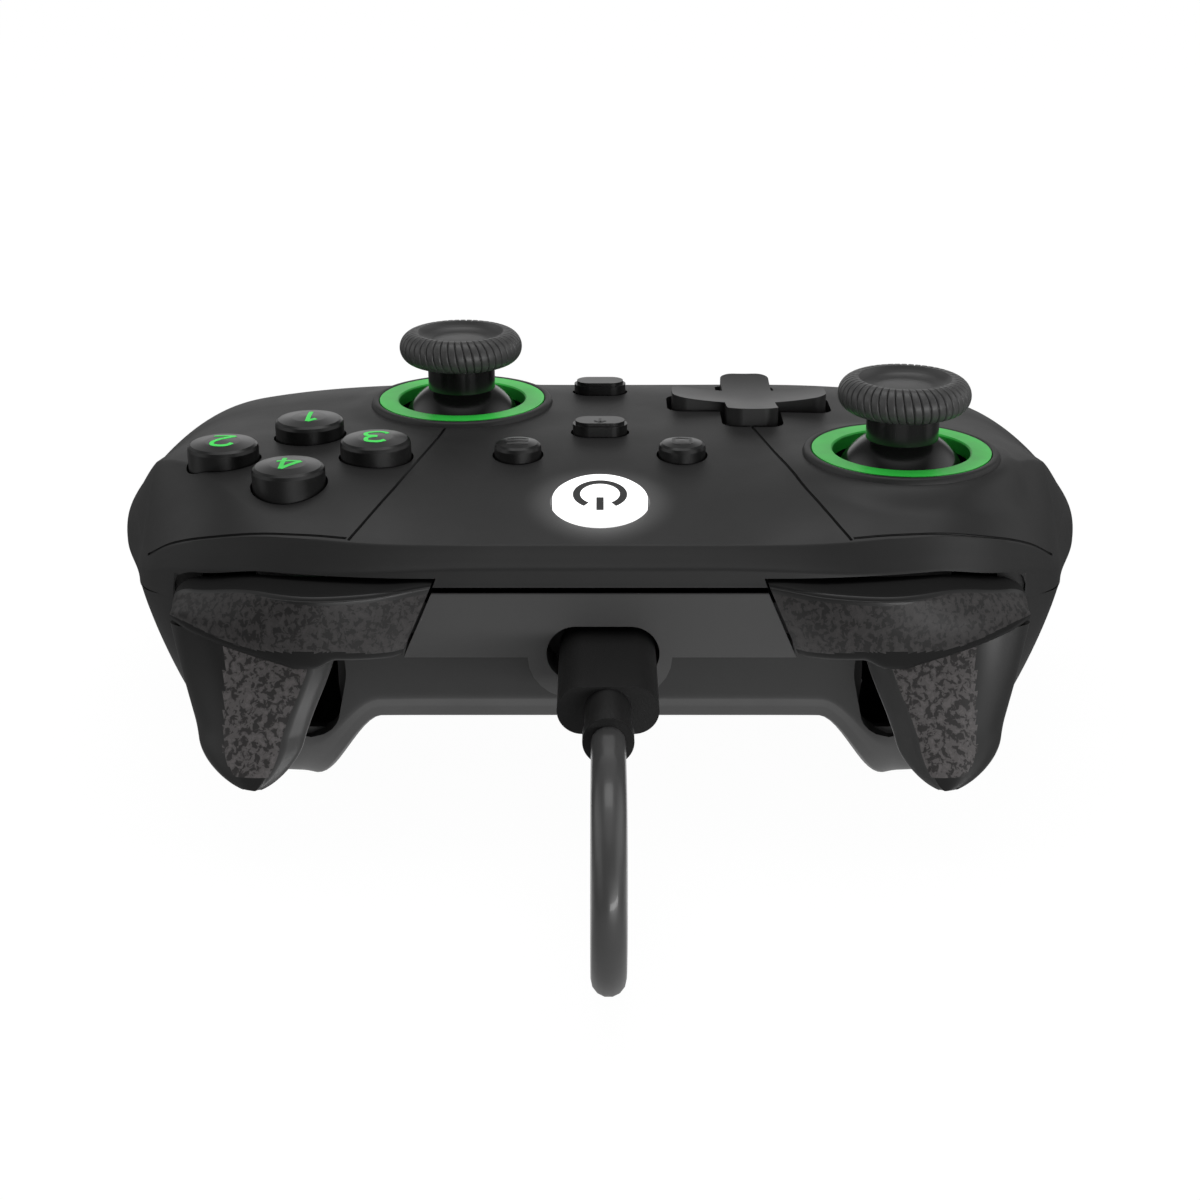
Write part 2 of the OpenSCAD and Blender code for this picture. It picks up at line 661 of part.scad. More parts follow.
// Push switches: five on the board under the small buttons, two facing the bumpers
switch_h = 3;
module push_switch() {
    translate([-2.6, -2.6, 0]) cube([5.2, 5.2, switch_h - 0.8]);
    cylinder(r = 1.3, h = switch_h);
}
bumper_switch_x = 28;
module push_switches() color(rubber_grey) {
    for (at = [menu_at, view_at, share_at, mode_at, [0, -home_fwd]])
        translate([at[0], at[1], board_z]) push_switch();
    both_sides() {
        block([bumper_switch_x - 2, -34.6, board_z], [bumper_switch_x + 2, -32, board_z + 4]);
        bar_y(1.1, -35.4, -34, bumper_switch_x, board_z + 2);
    }
}

// Coloured ring, with a small bevel at the opening
module stick_ring(at) color(ring_green) translate(at) rotate_extrude() polygon([
    [ring_bore / 2, ring_top - ring_t], [ring_bore / 2, ring_top - 0.2], [ring_bore / 2 + 0.2, ring_top],
    [ring_d / 2, ring_top], [ring_d / 2, ring_top - ring_t]
]);

// Stick module: an open box on the board with two pillars for the yoke's pins
module_top = 35.6;
pillar_x = [5.4, 7];
pillar_half = 2.4;
yoke_pin_r = 0.9;
pin_play = 0.05;
module stick_module(at) color(soft_black) translate([at[0], at[1], 0]) difference() {
    union() {
        difference() {
            translate([-module_w / 2, -module_w / 2, board_z])
                cube([module_w, module_w, module_top - board_z]);
            translate([1.2 - module_w / 2, 1.2 - module_w / 2, board_z + 1])
                cube([module_w - 2.4, module_w - 2.4, 20]);
        }
        for (e = [-1, 1]) translate([e * (pillar_x[0] + pillar_x[1]) / 2, 0, (board_z + pivot_z + 1.8) / 2])
            cube([pillar_x[1] - pillar_x[0], 2 * pillar_half, pivot_z + 1.8 - board_z], center = true);
    }
    bar_x(yoke_pin_r + pin_play, -10, 10, 0, pivot_z);
}

// Yoke: a frame that rocks about X on its own pins and carries the shaft's cross pin
yoke_half = [5, 4.6];
yoke_open = 3;
yoke_h = 2.6;
module stick_yoke(at) color(rubber_grey) translate([at[0], at[1], pivot_z]) difference() {
    union() {
        cube([2 * yoke_half[0], 2 * yoke_half[1], yoke_h], center = true);
        bar_x(yoke_pin_r, -pillar_x[1], pillar_x[1], 0, 0);
    }
    cube([2 * yoke_open, 2 * yoke_open, 10], center = true);
    bar_y(yoke_pin_r + pin_play, -10, 10, 0, 0);
}

// Shaft: a rod on a cross pin, which the post slides on
shaft_r = 1.8;
shaft_low = 3.2;
shaft_high = 11;
module stick_shaft(at) color(metal) translate([at[0], at[1], pivot_z]) {
    translate([0, 0, -shaft_low]) cylinder(r = shaft_r, h = shaft_low + shaft_high);
    bar_y(yoke_pin_r, -yoke_half[1], yoke_half[1], 0, 0);
}

// Post: a dome about the tilt axes with the stem that carries the cap
dome_t = 1;
dome_skirt = 1.2;
cap_under = stick_top - cap_h;
click_travel = 0.5;
module stick_post(at) color(gloss_black) translate([at[0], at[1], pivot_z]) difference() {
    union() {
        intersection() {
            sphere(d = dome_d);
            translate([0, 0, dome_skirt]) cylinder(r = dome_d, h = dome_d);
        }
        cylinder(d = post_d, h = cap_under - pivot_z + 1);
    }
    difference() {
        sphere(d = dome_d - 2 * dome_t);
        translate([0, 0, dome_d / 2 - 3]) cylinder(d = post_d, h = 10);
    }
    cylinder(r = shaft_r + pin_play, h = shaft_high + click_travel + 0.4);
}

// Cap: a ribbed rim round a dished top
groove_r = 0.45;
cap_round = [for (a = [-70:20:70]) [cap_d / 2 - cap_h / 2 + cap_h / 2 * cos(a), cap_h / 2 * sin(a)]];
module stick_cap(at) color(soft_black) translate([at[0], at[1], stick_top - cap_h / 2]) difference() {
    rotate_extrude() polygon(concat(
        [[0, 0.6 - cap_h / 2], [post_d / 2 + 1.5, -cap_h / 2]], cap_round,
        [[6, cap_h / 2 - 0.8], [4.5, cap_h / 2 - 1.3], [3, cap_h / 2 - 1], [0, cap_h / 2 - 1]]
    ));
    translate([0, 0, -cap_h]) cylinder(d = post_d + 2 * pin_play, h = cap_h / 2 + 1);
    for (i = [0:cap_grooves - 1]) rotate([0, 0, i * 360 / cap_grooves])
        translate([cap_d / 2 + 0.1, 0, 0]) rotate([28, 0, 0])
            cylinder(r = groove_r, h = 2 * cap_h, center = true, $fn = 16);
}

// Face button: a crowned cap with a flange under the shell and a plunger to its rubber dome
flange_drop = 2.8;
button_board_z = board_z + 3.4;
button_board_t = 1.2;
plunger_low = button_board_z + 3.1;
dome_top = plunger_low - face_button_travel - 0.3;
module round_button(d, top, flange, low, crown) rotate_extrude() polygon([
    [0, low], [d * 0.3, low], [d * 0.3, flange - 1.2], [d / 2 + 0.9, flange - 1.2], [d / 2 + 0.9, flange],
    [d / 2, flange], [d / 2, top - 0.8], [d / 2 - 0.15, top - 0.35], [d / 2 - 0.5, top - 0.08],
    [d / 4, top + 0.6 * crown], [0, top + crown]
]);
module face_button(n) color(gloss_black) translate([button_at(n)[0], button_at(n)[1], 0])
    round_button(face_button_d, button_face(n) + face_button_rise, button_face(n) - wall - flange_drop,
                 plunger_low, 0.35);
module face_button_domes() color(rubber_grey) {
    translate([cluster_at[0], cluster_at[1], button_board_z])
        linear_extrude(1) plus_shape(2 * cluster_r + 8.6, 9.4, 1);
    for (n = [1:4]) translate([button_at(n)[0], button_at(n)[1], button_board_z + 0.9])
        cylinder(r1 = 4.2, r2 = 2.6, h = dome_top - button_board_z - 0.9);
}

// Small board under the face buttons, standing on two headers
header_x = 7.5;
module button_board() color(board_green) translate([cluster_at[0], cluster_at[1], 0]) {
    translate([0, 0, button_board_z - button_board_t])
        linear_extrude(button_board_t) plus_shape(2 * cluster_r + 8.6, 9.4, 1);
    for (e = [-1, 1])
        block([e * header_x - 1.2, -4, board_z],
              [e * header_x + 1.2, 4, button_board_z - button_board_t + eps]);
}

// Direction pad: a dished cross on a ball, with a collar under the shell; it leans to the player
dpad_top = face_mid(dpad_back) + dpad_rise;
dpad_ball_r = 2.4;
dish_r = 60;
dish_depth = 1;
dish_back = 2.4;
dpad_ball_z = board_z + 5.6;
collar_top = face_z - wall - 2.6;
module direction_pad() color(soft_black) translate([dpad_at[0], dpad_at[1], 0]) difference() {
    union() {
        translate([0, 0, collar_top - 1])
            linear_extrude(dpad_top - collar_top + 2) plus_shape(dpad_w, dpad_arm, dpad_round);
        translate([0, 0, collar_top - 1.4]) cylinder(d = dpad_w + 2.6, h = 1.4);
        translate([0, 0, dpad_ball_z + 0.8]) cylinder(r = 4, h = collar_top - dpad_ball_z - 1);
    }
    translate([0, dish_back, dpad_top - dish_depth + dish_r]) sphere(r = dish_r, $fn = 128);
    translate([0, 0, dpad_ball_z]) sphere(r = dpad_ball_r + pin_play);
}
module direction_pad_ball() color(metal)
    translate([dpad_at[0], dpad_at[1], dpad_ball_z]) sphere(r = dpad_ball_r);
module direction_pad_post() color(rubber_grey) translate([dpad_at[0], dpad_at[1], 0]) difference() {
    translate([0, 0, board_z]) cylinder(r = 3.6, h = dpad_ball_z - 0.8 - board_z);
    translate([0, 0, dpad_ball_z]) sphere(r = dpad_ball_r + pin_play);
}

// Small buttons; the home button leans to the front with the face
small_low = board_z + switch_h + small_travel + 0.25;
small_rise = 1.9;
module home_button() color(lens_white) {
    translate(home_at) rotate([home_tilt, 0, 0]) rotate_extrude() polygon([
        [0, -4.4], [home_d / 2 + 0.9, -4.4], [home_d / 2 + 0.9, -3.2], [home_d / 2, -3.2],
        [home_d / 2, 0.5], [home_d / 2 - 0.5, 0.9], [home_d / 4, 1.15], [0, 1.2]
    ]);
    translate([0, -home_fwd, small_low]) cylinder(r = 2, h = home_at[2] - small_low - 2);
}
module small_button(at) color(gloss_black) translate([at[0], at[1], 0])
    round_button(small_d, face_at(at[0], at[1]) + small_rise, face_z - wall - 2, small_low, 0.25);
module pill_button(at) color(gloss_black) translate([at[0], at[1], 0]) {
    top = face_mid(at[1]) + small_rise;
    translate([0, 0, face_z - wall - 3])
        linear_extrude(top - 0.5 - face_z + wall + 3) stadium(pill_len, pill_w);
    translate([0, 0, top - 0.51]) linear_extrude(0.51) stadium(pill_len - 0.8, pill_w - 0.8);
    translate([0, 0, face_z - wall - 3.2]) linear_extrude(1.2) stadium(pill_len + 2, pill_w + 2);
    translate([0, 0, small_low]) cylinder(r = 1.6, h = face_z - wall - 2.5 - small_low);
}

// Bumper: a bowed bar with a rolled top edge, a shelf behind it that closes the bay, a hinge lug
// behind the front panel and a switch rib
bumper_shelf = 4;
bumper_shelf_back = -36;
bumper_rows = [1, 0.98, 0.94, 0.88, 0.8, 0.7, 0.6, 0.5, 0.4, 0.3, 0.2, 0.12, 0.05, 0];
function bumper_ring(t) =
    let (
        p = bez(bumper_path, t),
        end = 1 - bumper_taper * pow(ease(0.9, 1, t), 2),
        mid = (bumper_low(p[0]) + bumper_high(p[0])) / 2,
        low = lerp(mid, bumper_low(p[0]), end),
        high = lerp(mid, bumper_high(p[0]), end),
        thick = lerp(bumper_t, 3, ease(0.8, 1, t)),
        shelf = max(thick, min(thick + bumper_shelf, bumper_shelf_back - p[1])),
        slant = bumper_slant * pow(1 - t, 4),
        outline = [
            [0.7, low], [0.1, low + 0.9], [-0.2, (low + high) / 2], [0, high - 2], [0.5, high - 0.9],
            [1.3, high - 0.25], [2.4, high], [shelf + 0.1, high], [shelf, high - 1.2],
            [thick, high - 1.3], [thick, low]
        ]
    )
    [for (o = outline) [p[0] + slant * (high - o[1]) / (high - low), p[1] + o[0], o[1]]];
lug_r = 2.1;
module bumper() color(soft_black) difference() {
    union() {
        loft([for (t = bumper_rows) bumper_ring(t)]);
        translate([bumper_pin_x, -bumper_pin_fwd, bumper_slot[0] + 0.3])
            cylinder(r = lug_r, h = bumper_slot[1] - bumper_slot[0] - 0.6);
        block([bumper_pin_x, -bumper_pin_fwd - 1.8, bumper_slot[0] + 0.3],
              [bumper_in + 5, -bumper_pin_fwd + 1.6, bumper_slot[1] - 0.3]);
        block([bumper_switch_x - 1, -44, board_z + 1], [bumper_switch_x + 1, -36.3, board_z + 3]);
    }
    translate([bumper_pin_x, -bumper_pin_fwd, 20]) cylinder(r = bumper_pin_d / 2 + pin_play, h = 20);
}
module left_bumper() bumper();
module right_bumper() mirror([1, 0, 0]) bumper();
module bumper_pin() translate([bumper_pin_x, -bumper_pin_fwd, bumper_slot[0] - 1.2])
    cylinder(d = bumper_pin_d, h = bumper_slot[1] - bumper_slot[0] + 2);
module bumper_pins() color(metal) both_sides() bumper_pin();

// Trigger: a curved tongue that narrows to its tip, with a web to the hinge behind the bumper
// The top rises at its outer end, where the bumper's edge rises too
trigger_peak_z = 28;
trigger_rows = [10, 10.5, 11.4, 12.6, 14, 15.8, 18, 21, 24, trigger_top_z, trigger_peak_z];
module trigger_top() polygon([
    [30, trigger_top_z - 0.1], [49, trigger_top_z - 0.1], [53.5, trigger_peak_z - 0.2],
    [60, trigger_peak_z - 0.2], [60, 40], [30, 40]
]);
function trigger_ring(z) =
    let (
        c = trigger_mid(z), h = trigger_half(z), f = trigger_front(z), b = f + trigger_depth(z),
        k = min(1, h / 8)
    )
    [
        [c - h, f + 1.7 * k, z], [c - h + 1.3 * k, f + 0.3, z], [c - 0.3 * h, f - 0.2, z],
        [c + 0.3 * h, f, z], [c + 0.72 * h, f + 1.5 * k, z], [c + h, f + 3.6 * k, z],
        [c + 0.92 * h, b, z], [c - 0.92 * h, b, z]
    ];
spring_x = [38.4, 42.8];
trigger_boss_r = 3;
module trigger() color(soft_black) difference() {
    union() {
        difference() {
            loft([for (z = trigger_rows) trigger_ring(z)]);
            along_y(-60, -30) trigger_top();
        }
        along_x(trigger_in, trigger_outer) polygon([
            [trigger_front(trigger_top_z) + 1, trigger_top_z - 0.5], trigger_pin_at + [-5, -6.5],
            trigger_pin_at + [2.6, -1.4], trigger_pin_at + [2.4, 2], trigger_pin_at + [-2, 2.6]
        ]);
        bar_x(trigger_boss_r, trigger_in, trigger_outer, trigger_pin_at[0], trigger_pin_at[1]);
    }
    bar_x(trigger_pin_d / 2 + pin_play, trigger_in - 1, trigger_outer + 1,
          trigger_pin_at[0], trigger_pin_at[1]);
    block([spring_x[0], trigger_pin_at[0] - 5.5, trigger_pin_at[1] - 2.8],
          [spring_x[1], trigger_pin_at[0] + 11, trigger_pin_at[1] + 12]);
}
module left_trigger() trigger();
module right_trigger() mirror([1, 0, 0]) trigger();
pin_ends = [trigger_in - shoulder_gap - bay_wall_t, trigger_outer + shoulder_gap + bay_wall_t];
module trigger_pins() color(metal) both_sides()
    bar_x(trigger_pin_d / 2, pin_ends[0], pin_ends[1], trigger_pin_at[0], trigger_pin_at[1]);

// Trigger spring: a wire coil round the pin with a straight leg to the front and one to the back
wire_r = 0.35;
spring_r = 1.9;
spring_turns = 3;
spring_steps = 14;
spring_leg = 4.5;
function spring_point(i) =
    let (
        n = spring_turns * spring_steps,
        a = 360 * clamp01(i / n) * spring_turns,
        run = min(0, i) + max(0, i - n),
        x = lerp(spring_x[0] + 0.7, spring_x[1] - 0.7, clamp01(i / n))
    )
    [x, trigger_pin_at[0] + spring_r * sin(a) + spring_leg * run / 2,
     trigger_pin_at[1] + spring_r * cos(a)];
module trigger_spring() color(metal)
    loft(tube_rings(
        [for (i = [-2:spring_turns * spring_steps + 2]) spring_point(i)], wire_r, 5, [1, 0, 0]));
module left_trigger_spring() trigger_spring();
module right_trigger_spring() mirror([1, 0, 0]) trigger_spring();

// A tube along a list of points: each ring stands square to the run of the points beside it,
// and the reference direction, never along the run, keeps the rings from twisting
function along(p, i) =
    let (d = p[min(len(p) - 1, i + 1)] - p[max(0, i - 1)]) d / norm(d);
function tube_rings(p, r, sides, ref) =
    [for (i = [0:len(p) - 1])
        let (d = along(p, i), c = cross(d, ref), s = c / norm(c), u = cross(s, d))
        [for (k = [0:sides - 1])
            let (a = 360 * (k + 0.5) / sides) p[i] + r * (cos(a) * s + sin(a) * u)]];

// Cable plug in the recess, with its metal tip in the socket
plug_back = -41;
plug_front = plug_back - plug_len;
tip_w = 8.2;
tip_h = 2.3;
module cable_plug() {
    color(soft_black) translate([0, 0, plug_z])
        along_y(plug_front, plug_back) translate([plug_x, 0]) stadium(plug_w, plug_h);
    color(metal) translate([0, 0, plug_z]) difference() {
        along_y(plug_back - 1, -34.6) translate([plug_x, 0]) stadium(tip_w, tip_h);
        along_y(plug_back + 1, -30) translate([plug_x, 0]) square([6.9, 1.1], center = true);
    }
}
relief_d = 5.9;
relief_len = 9;
collar_d = 6.3;
collar_len = 2.4;
relief_end = plug_front - relief_len;
module strain_relief() color(soft_black) {
    bar_y(relief_d / 2, relief_end, plug_front, plug_x, plug_z);
    bar_y(collar_d / 2, relief_end, relief_end + collar_len, plug_x, plug_z);
}

// Cable: out of the plug, round and down to the table, back under the case to the coil behind it
coil_at = [16, 77];
coil_z = 3.1;
coil_pitch = 4.7;
coil_layers = 4;
coil_turns = 17.5;
coil_steps = 24;
layer_turns = coil_turns / coil_layers;
coil_r = 35.3;
cable_r = cable_d / 2;
lead_route = [
    [1, -71, 26.2], [1, -76, 26.2], [1, -81, 26.2], [1, -85.5, 25.4], [1, -89.5, 23], [1, -92.5, 19.2],
    [1, -93.8, 14.6], [1, -93.1, 10], [1, -90.6, 6], [1, -86.6, 3.3], [1, -81.5, 2.3], [1, -76, 2.1],
    [1, -64, 2.1], [1, -52, 2.1], [1, -40, 2.1], [1, -28, 2.1], [1, -16, 2.1], [1, -4, 2.2], [1, 8, 2.5],
    [1, 18, 2.8], [1, 26.7, 3], [2.1, 32.4, 3.1], [5.4, 37.3, 3.1], [10.3, 40.6, 3.1], [16, 41.7, 3.1]
];
tail_route = [
    [16, 112.3, 17.2], [8, 112.3, 17], [0, 111.7, 15.8], [-8, 110, 13.4], [-16, 107, 10.2],
    [-23, 102.8, 7.2], [-28.5, 97.5, 5.1], [-32.3, 91, 4.1], [-34.2, 84, 3.9], [-35, 77, 3.9],
    [-35, 71, 3.9]
];
module cable_lead() color(soft_black) loft(tube_rings(lead_route, cable_r, 10, [0.9, 0.1, 0]));
module cable_tail() color(soft_black) loft(tube_rings(tail_route, cable_r, 10, [0, 0, 1]));

// The coil spirals in and out in layers and climbs in the half turn where the spiral turns back
function coil_point(i) =
    let (
        t = i / coil_steps,
        k = min(coil_layers - 1, floor(t / layer_turns)),
        s = t - k * layer_turns,
        r = coil_r - coil_pitch * (k % 2 == 0 ? s : layer_turns - s),
        near = round(t / layer_turns),
        climbs = near == 0 || near == coil_layers ? 0.5
            : clamp01((t - near * layer_turns + 0.25) / 0.5),
        level = near == 0 ? 0 : near == coil_layers ? coil_layers - 1 : near - 1 + climbs,
        a = 360 * t - 90
    )
    [coil_at[0] + r * cos(a), coil_at[1] + r * sin(a), coil_z + coil_pitch * level];
coil_points = [for (i = [0:coil_turns * coil_steps]) coil_point(i)];
module cable_coil() color(soft_black) {
    gap = min([for (i = [0:len(coil_points) - 1]) for (j = [i + coil_steps / 2:len(coil_points) - 1])
        norm(coil_points[i] - coil_points[j])]) - cable_d;
    echo(coil_self_gap = gap);
    loft(tube_rings(coil_points, cable_r, 6, [0, 0, 1]));
}
function run_length(p) = let (d = [for (i = [1:len(p) - 1]) norm(p[i] - p[i - 1])]) d * [for (x = d) 1];
echo(cable_length = run_length(lead_route) + run_length(coil_points) + run_length(tail_route),
     wanted = cable_len);

// Tie round the coil's turns
tie_t = 0.6;
tie_w = 8;
tie_play = 0.3;
coil_in_r = coil_r - coil_pitch * layer_turns;
module tie_box(g, w) block(
    [coil_at[0] - coil_r - cable_r - g, coil_at[1] - w / 2, coil_z - cable_r - g],
    [coil_at[0] - coil_in_r + cable_r + g, coil_at[1] + w / 2,
     coil_z + cable_r + coil_pitch * (coil_layers - 1) + g]);
module cable_tie() color(gloss_black) difference() {
    tie_box(tie_play + tie_t, tie_w);
    tie_box(tie_play, tie_w + 2);
}

// Plug on the far end, lying on the table
far_at = [-35, 71];
far_w = 15.6;
far_h = 7.8;
far_len = 18;
far_tip_len = 12;
module far_plug() translate([far_at[0], 0, far_h / 2]) {
    color(soft_black) along_y(far_at[1] - far_len, far_at[1]) square([far_w, far_h], center = true);
    color(metal) along_y(far_at[1] - far_len - far_tip_len, far_at[1] - far_len + 1) difference() {
        square([12, 4.5], center = true);
        translate([0, 0.6]) square([11.2, 2.6], center = true);
    }
}

top_shell();
bottom_shell();
front_panel();
case_screws();
main_board();
cable_socket();
headset_socket();
push_switches();
stick_ring(left_stick_at);  // left_stick_ring
stick_ring(right_stick_at);  // right_stick_ring
stick_module(left_stick_at);  // left_stick_module
stick_module(right_stick_at);  // right_stick_module
stick_yoke(left_stick_at);  // left_stick_yoke
stick_yoke(right_stick_at);  // right_stick_yoke
stick_shaft(left_stick_at);  // left_stick_shaft
stick_shaft(right_stick_at);  // right_stick_shaft
stick_post(left_stick_at);  // left_stick_post
stick_post(right_stick_at);  // right_stick_post
stick_cap(left_stick_at);  // left_stick_cap
stick_cap(right_stick_at);  // right_stick_cap
face_button(1);  // face_button_1
face_button(2);  // face_button_2
face_button(3);  // face_button_3
face_button(4);  // face_button_4
face_button_domes();
button_board();
direction_pad();
direction_pad_ball();
direction_pad_post();
home_button();
small_button(menu_at);  // menu_button
small_button(view_at);  // view_button
pill_button(share_at);  // share_button
pill_button(mode_at);  // mode_button
left_bumper();
right_bumper();
bumper_pins();
left_trigger();
right_trigger();
trigger_pins();
left_trigger_spring();
right_trigger_spring();
cable_plug();
strain_relief();
cable_lead();
cable_coil();
cable_tie();
cable_tail();
far_plug();
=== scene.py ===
"""Looks of the wired gamepad controller. Lengths are in millimetres until they become mesh points."""
import math

import bmesh
import bpy
import numpy as np
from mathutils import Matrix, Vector
from mathutils.bvhtree import BVHTree


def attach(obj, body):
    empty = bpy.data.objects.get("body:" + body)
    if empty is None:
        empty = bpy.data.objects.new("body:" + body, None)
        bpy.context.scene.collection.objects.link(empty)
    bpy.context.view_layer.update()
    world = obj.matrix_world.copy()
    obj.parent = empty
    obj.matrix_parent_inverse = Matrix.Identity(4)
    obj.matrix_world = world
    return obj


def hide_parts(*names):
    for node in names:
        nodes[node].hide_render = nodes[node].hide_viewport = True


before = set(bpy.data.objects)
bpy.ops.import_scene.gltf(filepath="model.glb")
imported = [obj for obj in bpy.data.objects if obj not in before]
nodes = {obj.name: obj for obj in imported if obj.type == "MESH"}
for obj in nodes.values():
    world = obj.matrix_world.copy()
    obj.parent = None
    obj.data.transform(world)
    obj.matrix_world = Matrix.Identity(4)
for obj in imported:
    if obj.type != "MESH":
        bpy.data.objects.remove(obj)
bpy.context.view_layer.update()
MM = 0.001

# Camera at the photo's place
scene = bpy.context.scene
scene.view_settings.view_transform = "Standard"
camera_data = bpy.data.cameras.new("photo_camera")
camera_data.lens = 60
camera_data.sensor_width = 36
camera = bpy.data.objects.new("photo_camera", camera_data)
camera.location = (0, -0.288, 0.130)
camera.rotation_euler = (math.radians(68.5), 0, 0)
scene.collection.objects.link(camera)
scene.camera = camera


# Mesh helpers
def new_object(name, points, faces, materials, face_slots=None, angle=30):
    """A mesh object from points in millimetres, smooth except at edges sharper than the angle."""
    mesh = bpy.data.meshes.new(name)
    mesh.from_pydata([tuple(c * MM for c in p) for p in points], [], [tuple(f) for f in faces])
    for material in materials:
        mesh.materials.append(material)
    if face_slots is not None:
        mesh.polygons.foreach_set("material_index", list(face_slots))
    work = bmesh.new()
    work.from_mesh(mesh)
    bmesh.ops.recalc_face_normals(work, faces=work.faces)
    work.to_mesh(mesh)
    work.free()
    smooth(mesh, angle)
    obj = bpy.data.objects.new(name, mesh)
    scene.collection.objects.link(obj)
    return obj


def smooth(mesh, angle):
    mesh.polygons.foreach_set("use_smooth", [True] * len(mesh.polygons))
    mesh.set_sharp_from_angle(angle=math.radians(angle))


def loft(rings):
    """Points and faces of a closed solid through rings of equal length."""
    rings = np.asarray(rings, float)
    n, m = rings.shape[:2]
    faces = [list(range(m))[::-1], [(n - 1) * m + j for j in range(m)]]
    for i in range(n - 1):
        for j in range(m):
            k = (j + 1) % m
            faces.append([i * m + j, i * m + k, (i + 1) * m + k, (i + 1) * m + j])
    return rings.reshape(-1, 3), faces


def revolve(profile, at, steps=96):
    """Points and faces of a closed profile of (radius, height) turned about an upright axis."""
    m = len(profile)
    points = []
    for i in range(steps):
        a = 2 * math.pi * i / steps
        points += [(at[0] + r * math.cos(a), at[1] + r * math.sin(a), at[2] + z) for r, z in profile]
    faces = []
    for i in range(steps):
        for j in range(m):
            k, q = (j + 1) % m, (i + 1) % steps
            faces.append([i * m + j, q * m + j, q * m + k, i * m + k])
    return points, faces


def prism(outline, axis, low, high):
    """Points and faces of an outline pushed along an axis; the outline lies in the other two axes."""
    def place(p, c):
        return {"x": (c, p[0], p[1]), "y": (p[0], c, p[1]), "z": (p[0], p[1], c)}[axis]
    return loft([[place(p, low) for p in outline], [place(p, high) for p in outline]])


def circle(radius, at=(0, 0), steps=72):
    turns = [2 * math.pi * i / steps for i in range(steps)]
    return [(at[0] + radius * math.cos(a), at[1] + radius * math.sin(a)) for a in turns]


def stadium(w, h, at=(0, 0), steps=18):
    out = []
    for e, start in ((1, -90), (-1, 90)):
        for i in range(steps + 1):
            a = math.radians(start + 180 * i / steps)
            out.append((at[0] + e * (w - h) / 2 + h / 2 * math.cos(a), at[1] + h / 2 * math.sin(a)))
    return out


def merged(*parts):
    """One list of points and faces from several."""
    points, faces = [], []
    for p, f in parts:
        start = len(points)
        points += [tuple(q) for q in p]
        faces += [[i + start for i in face] for face in f]
    return points, faces


def mirrored(points):
    return [(-p[0], p[1], p[2]) for p in points]


def cut(obj, cutters, angle=30):
    """Takes each cutter, given as points and faces, out of the object."""
    helpers = []
    for i, (points, faces) in enumerate(cutters):
        tool = new_object(f"tool_{i}", points, faces, [])
        step = obj.modifiers.new(tool.name, "BOOLEAN")
        step.operation = "DIFFERENCE"
        step.solver = "MANIFOLD"
        step.object = tool
        helpers.append(tool)
    graph = bpy.context.evaluated_depsgraph_get()
    mesh = bpy.data.meshes.new_from_object(obj.evaluated_get(graph))
    obj.modifiers.clear()
    obj.data = mesh
    smooth(mesh, angle)
    for tool in helpers:
        bpy.data.objects.remove(tool)


def spline(points, steps):
    """A smooth open line through points, with some steps between each two."""
    p = np.asarray(points, float)
    p = np.vstack([2 * p[0] - p[1], p, 2 * p[-1] - p[-2]])
    out = []
    for i in range(1, len(p) - 2):
        for t in np.arange(steps) / steps:
            a, b, c, d = p[i - 1:i + 3]
            out.append(0.5 * (2 * b + (c - a) * t + (2 * a - 5 * b + 4 * c - d) * t ** 2
                              + (3 * b - a - 3 * c + d) * t ** 3))
    return out + [p[-2]]


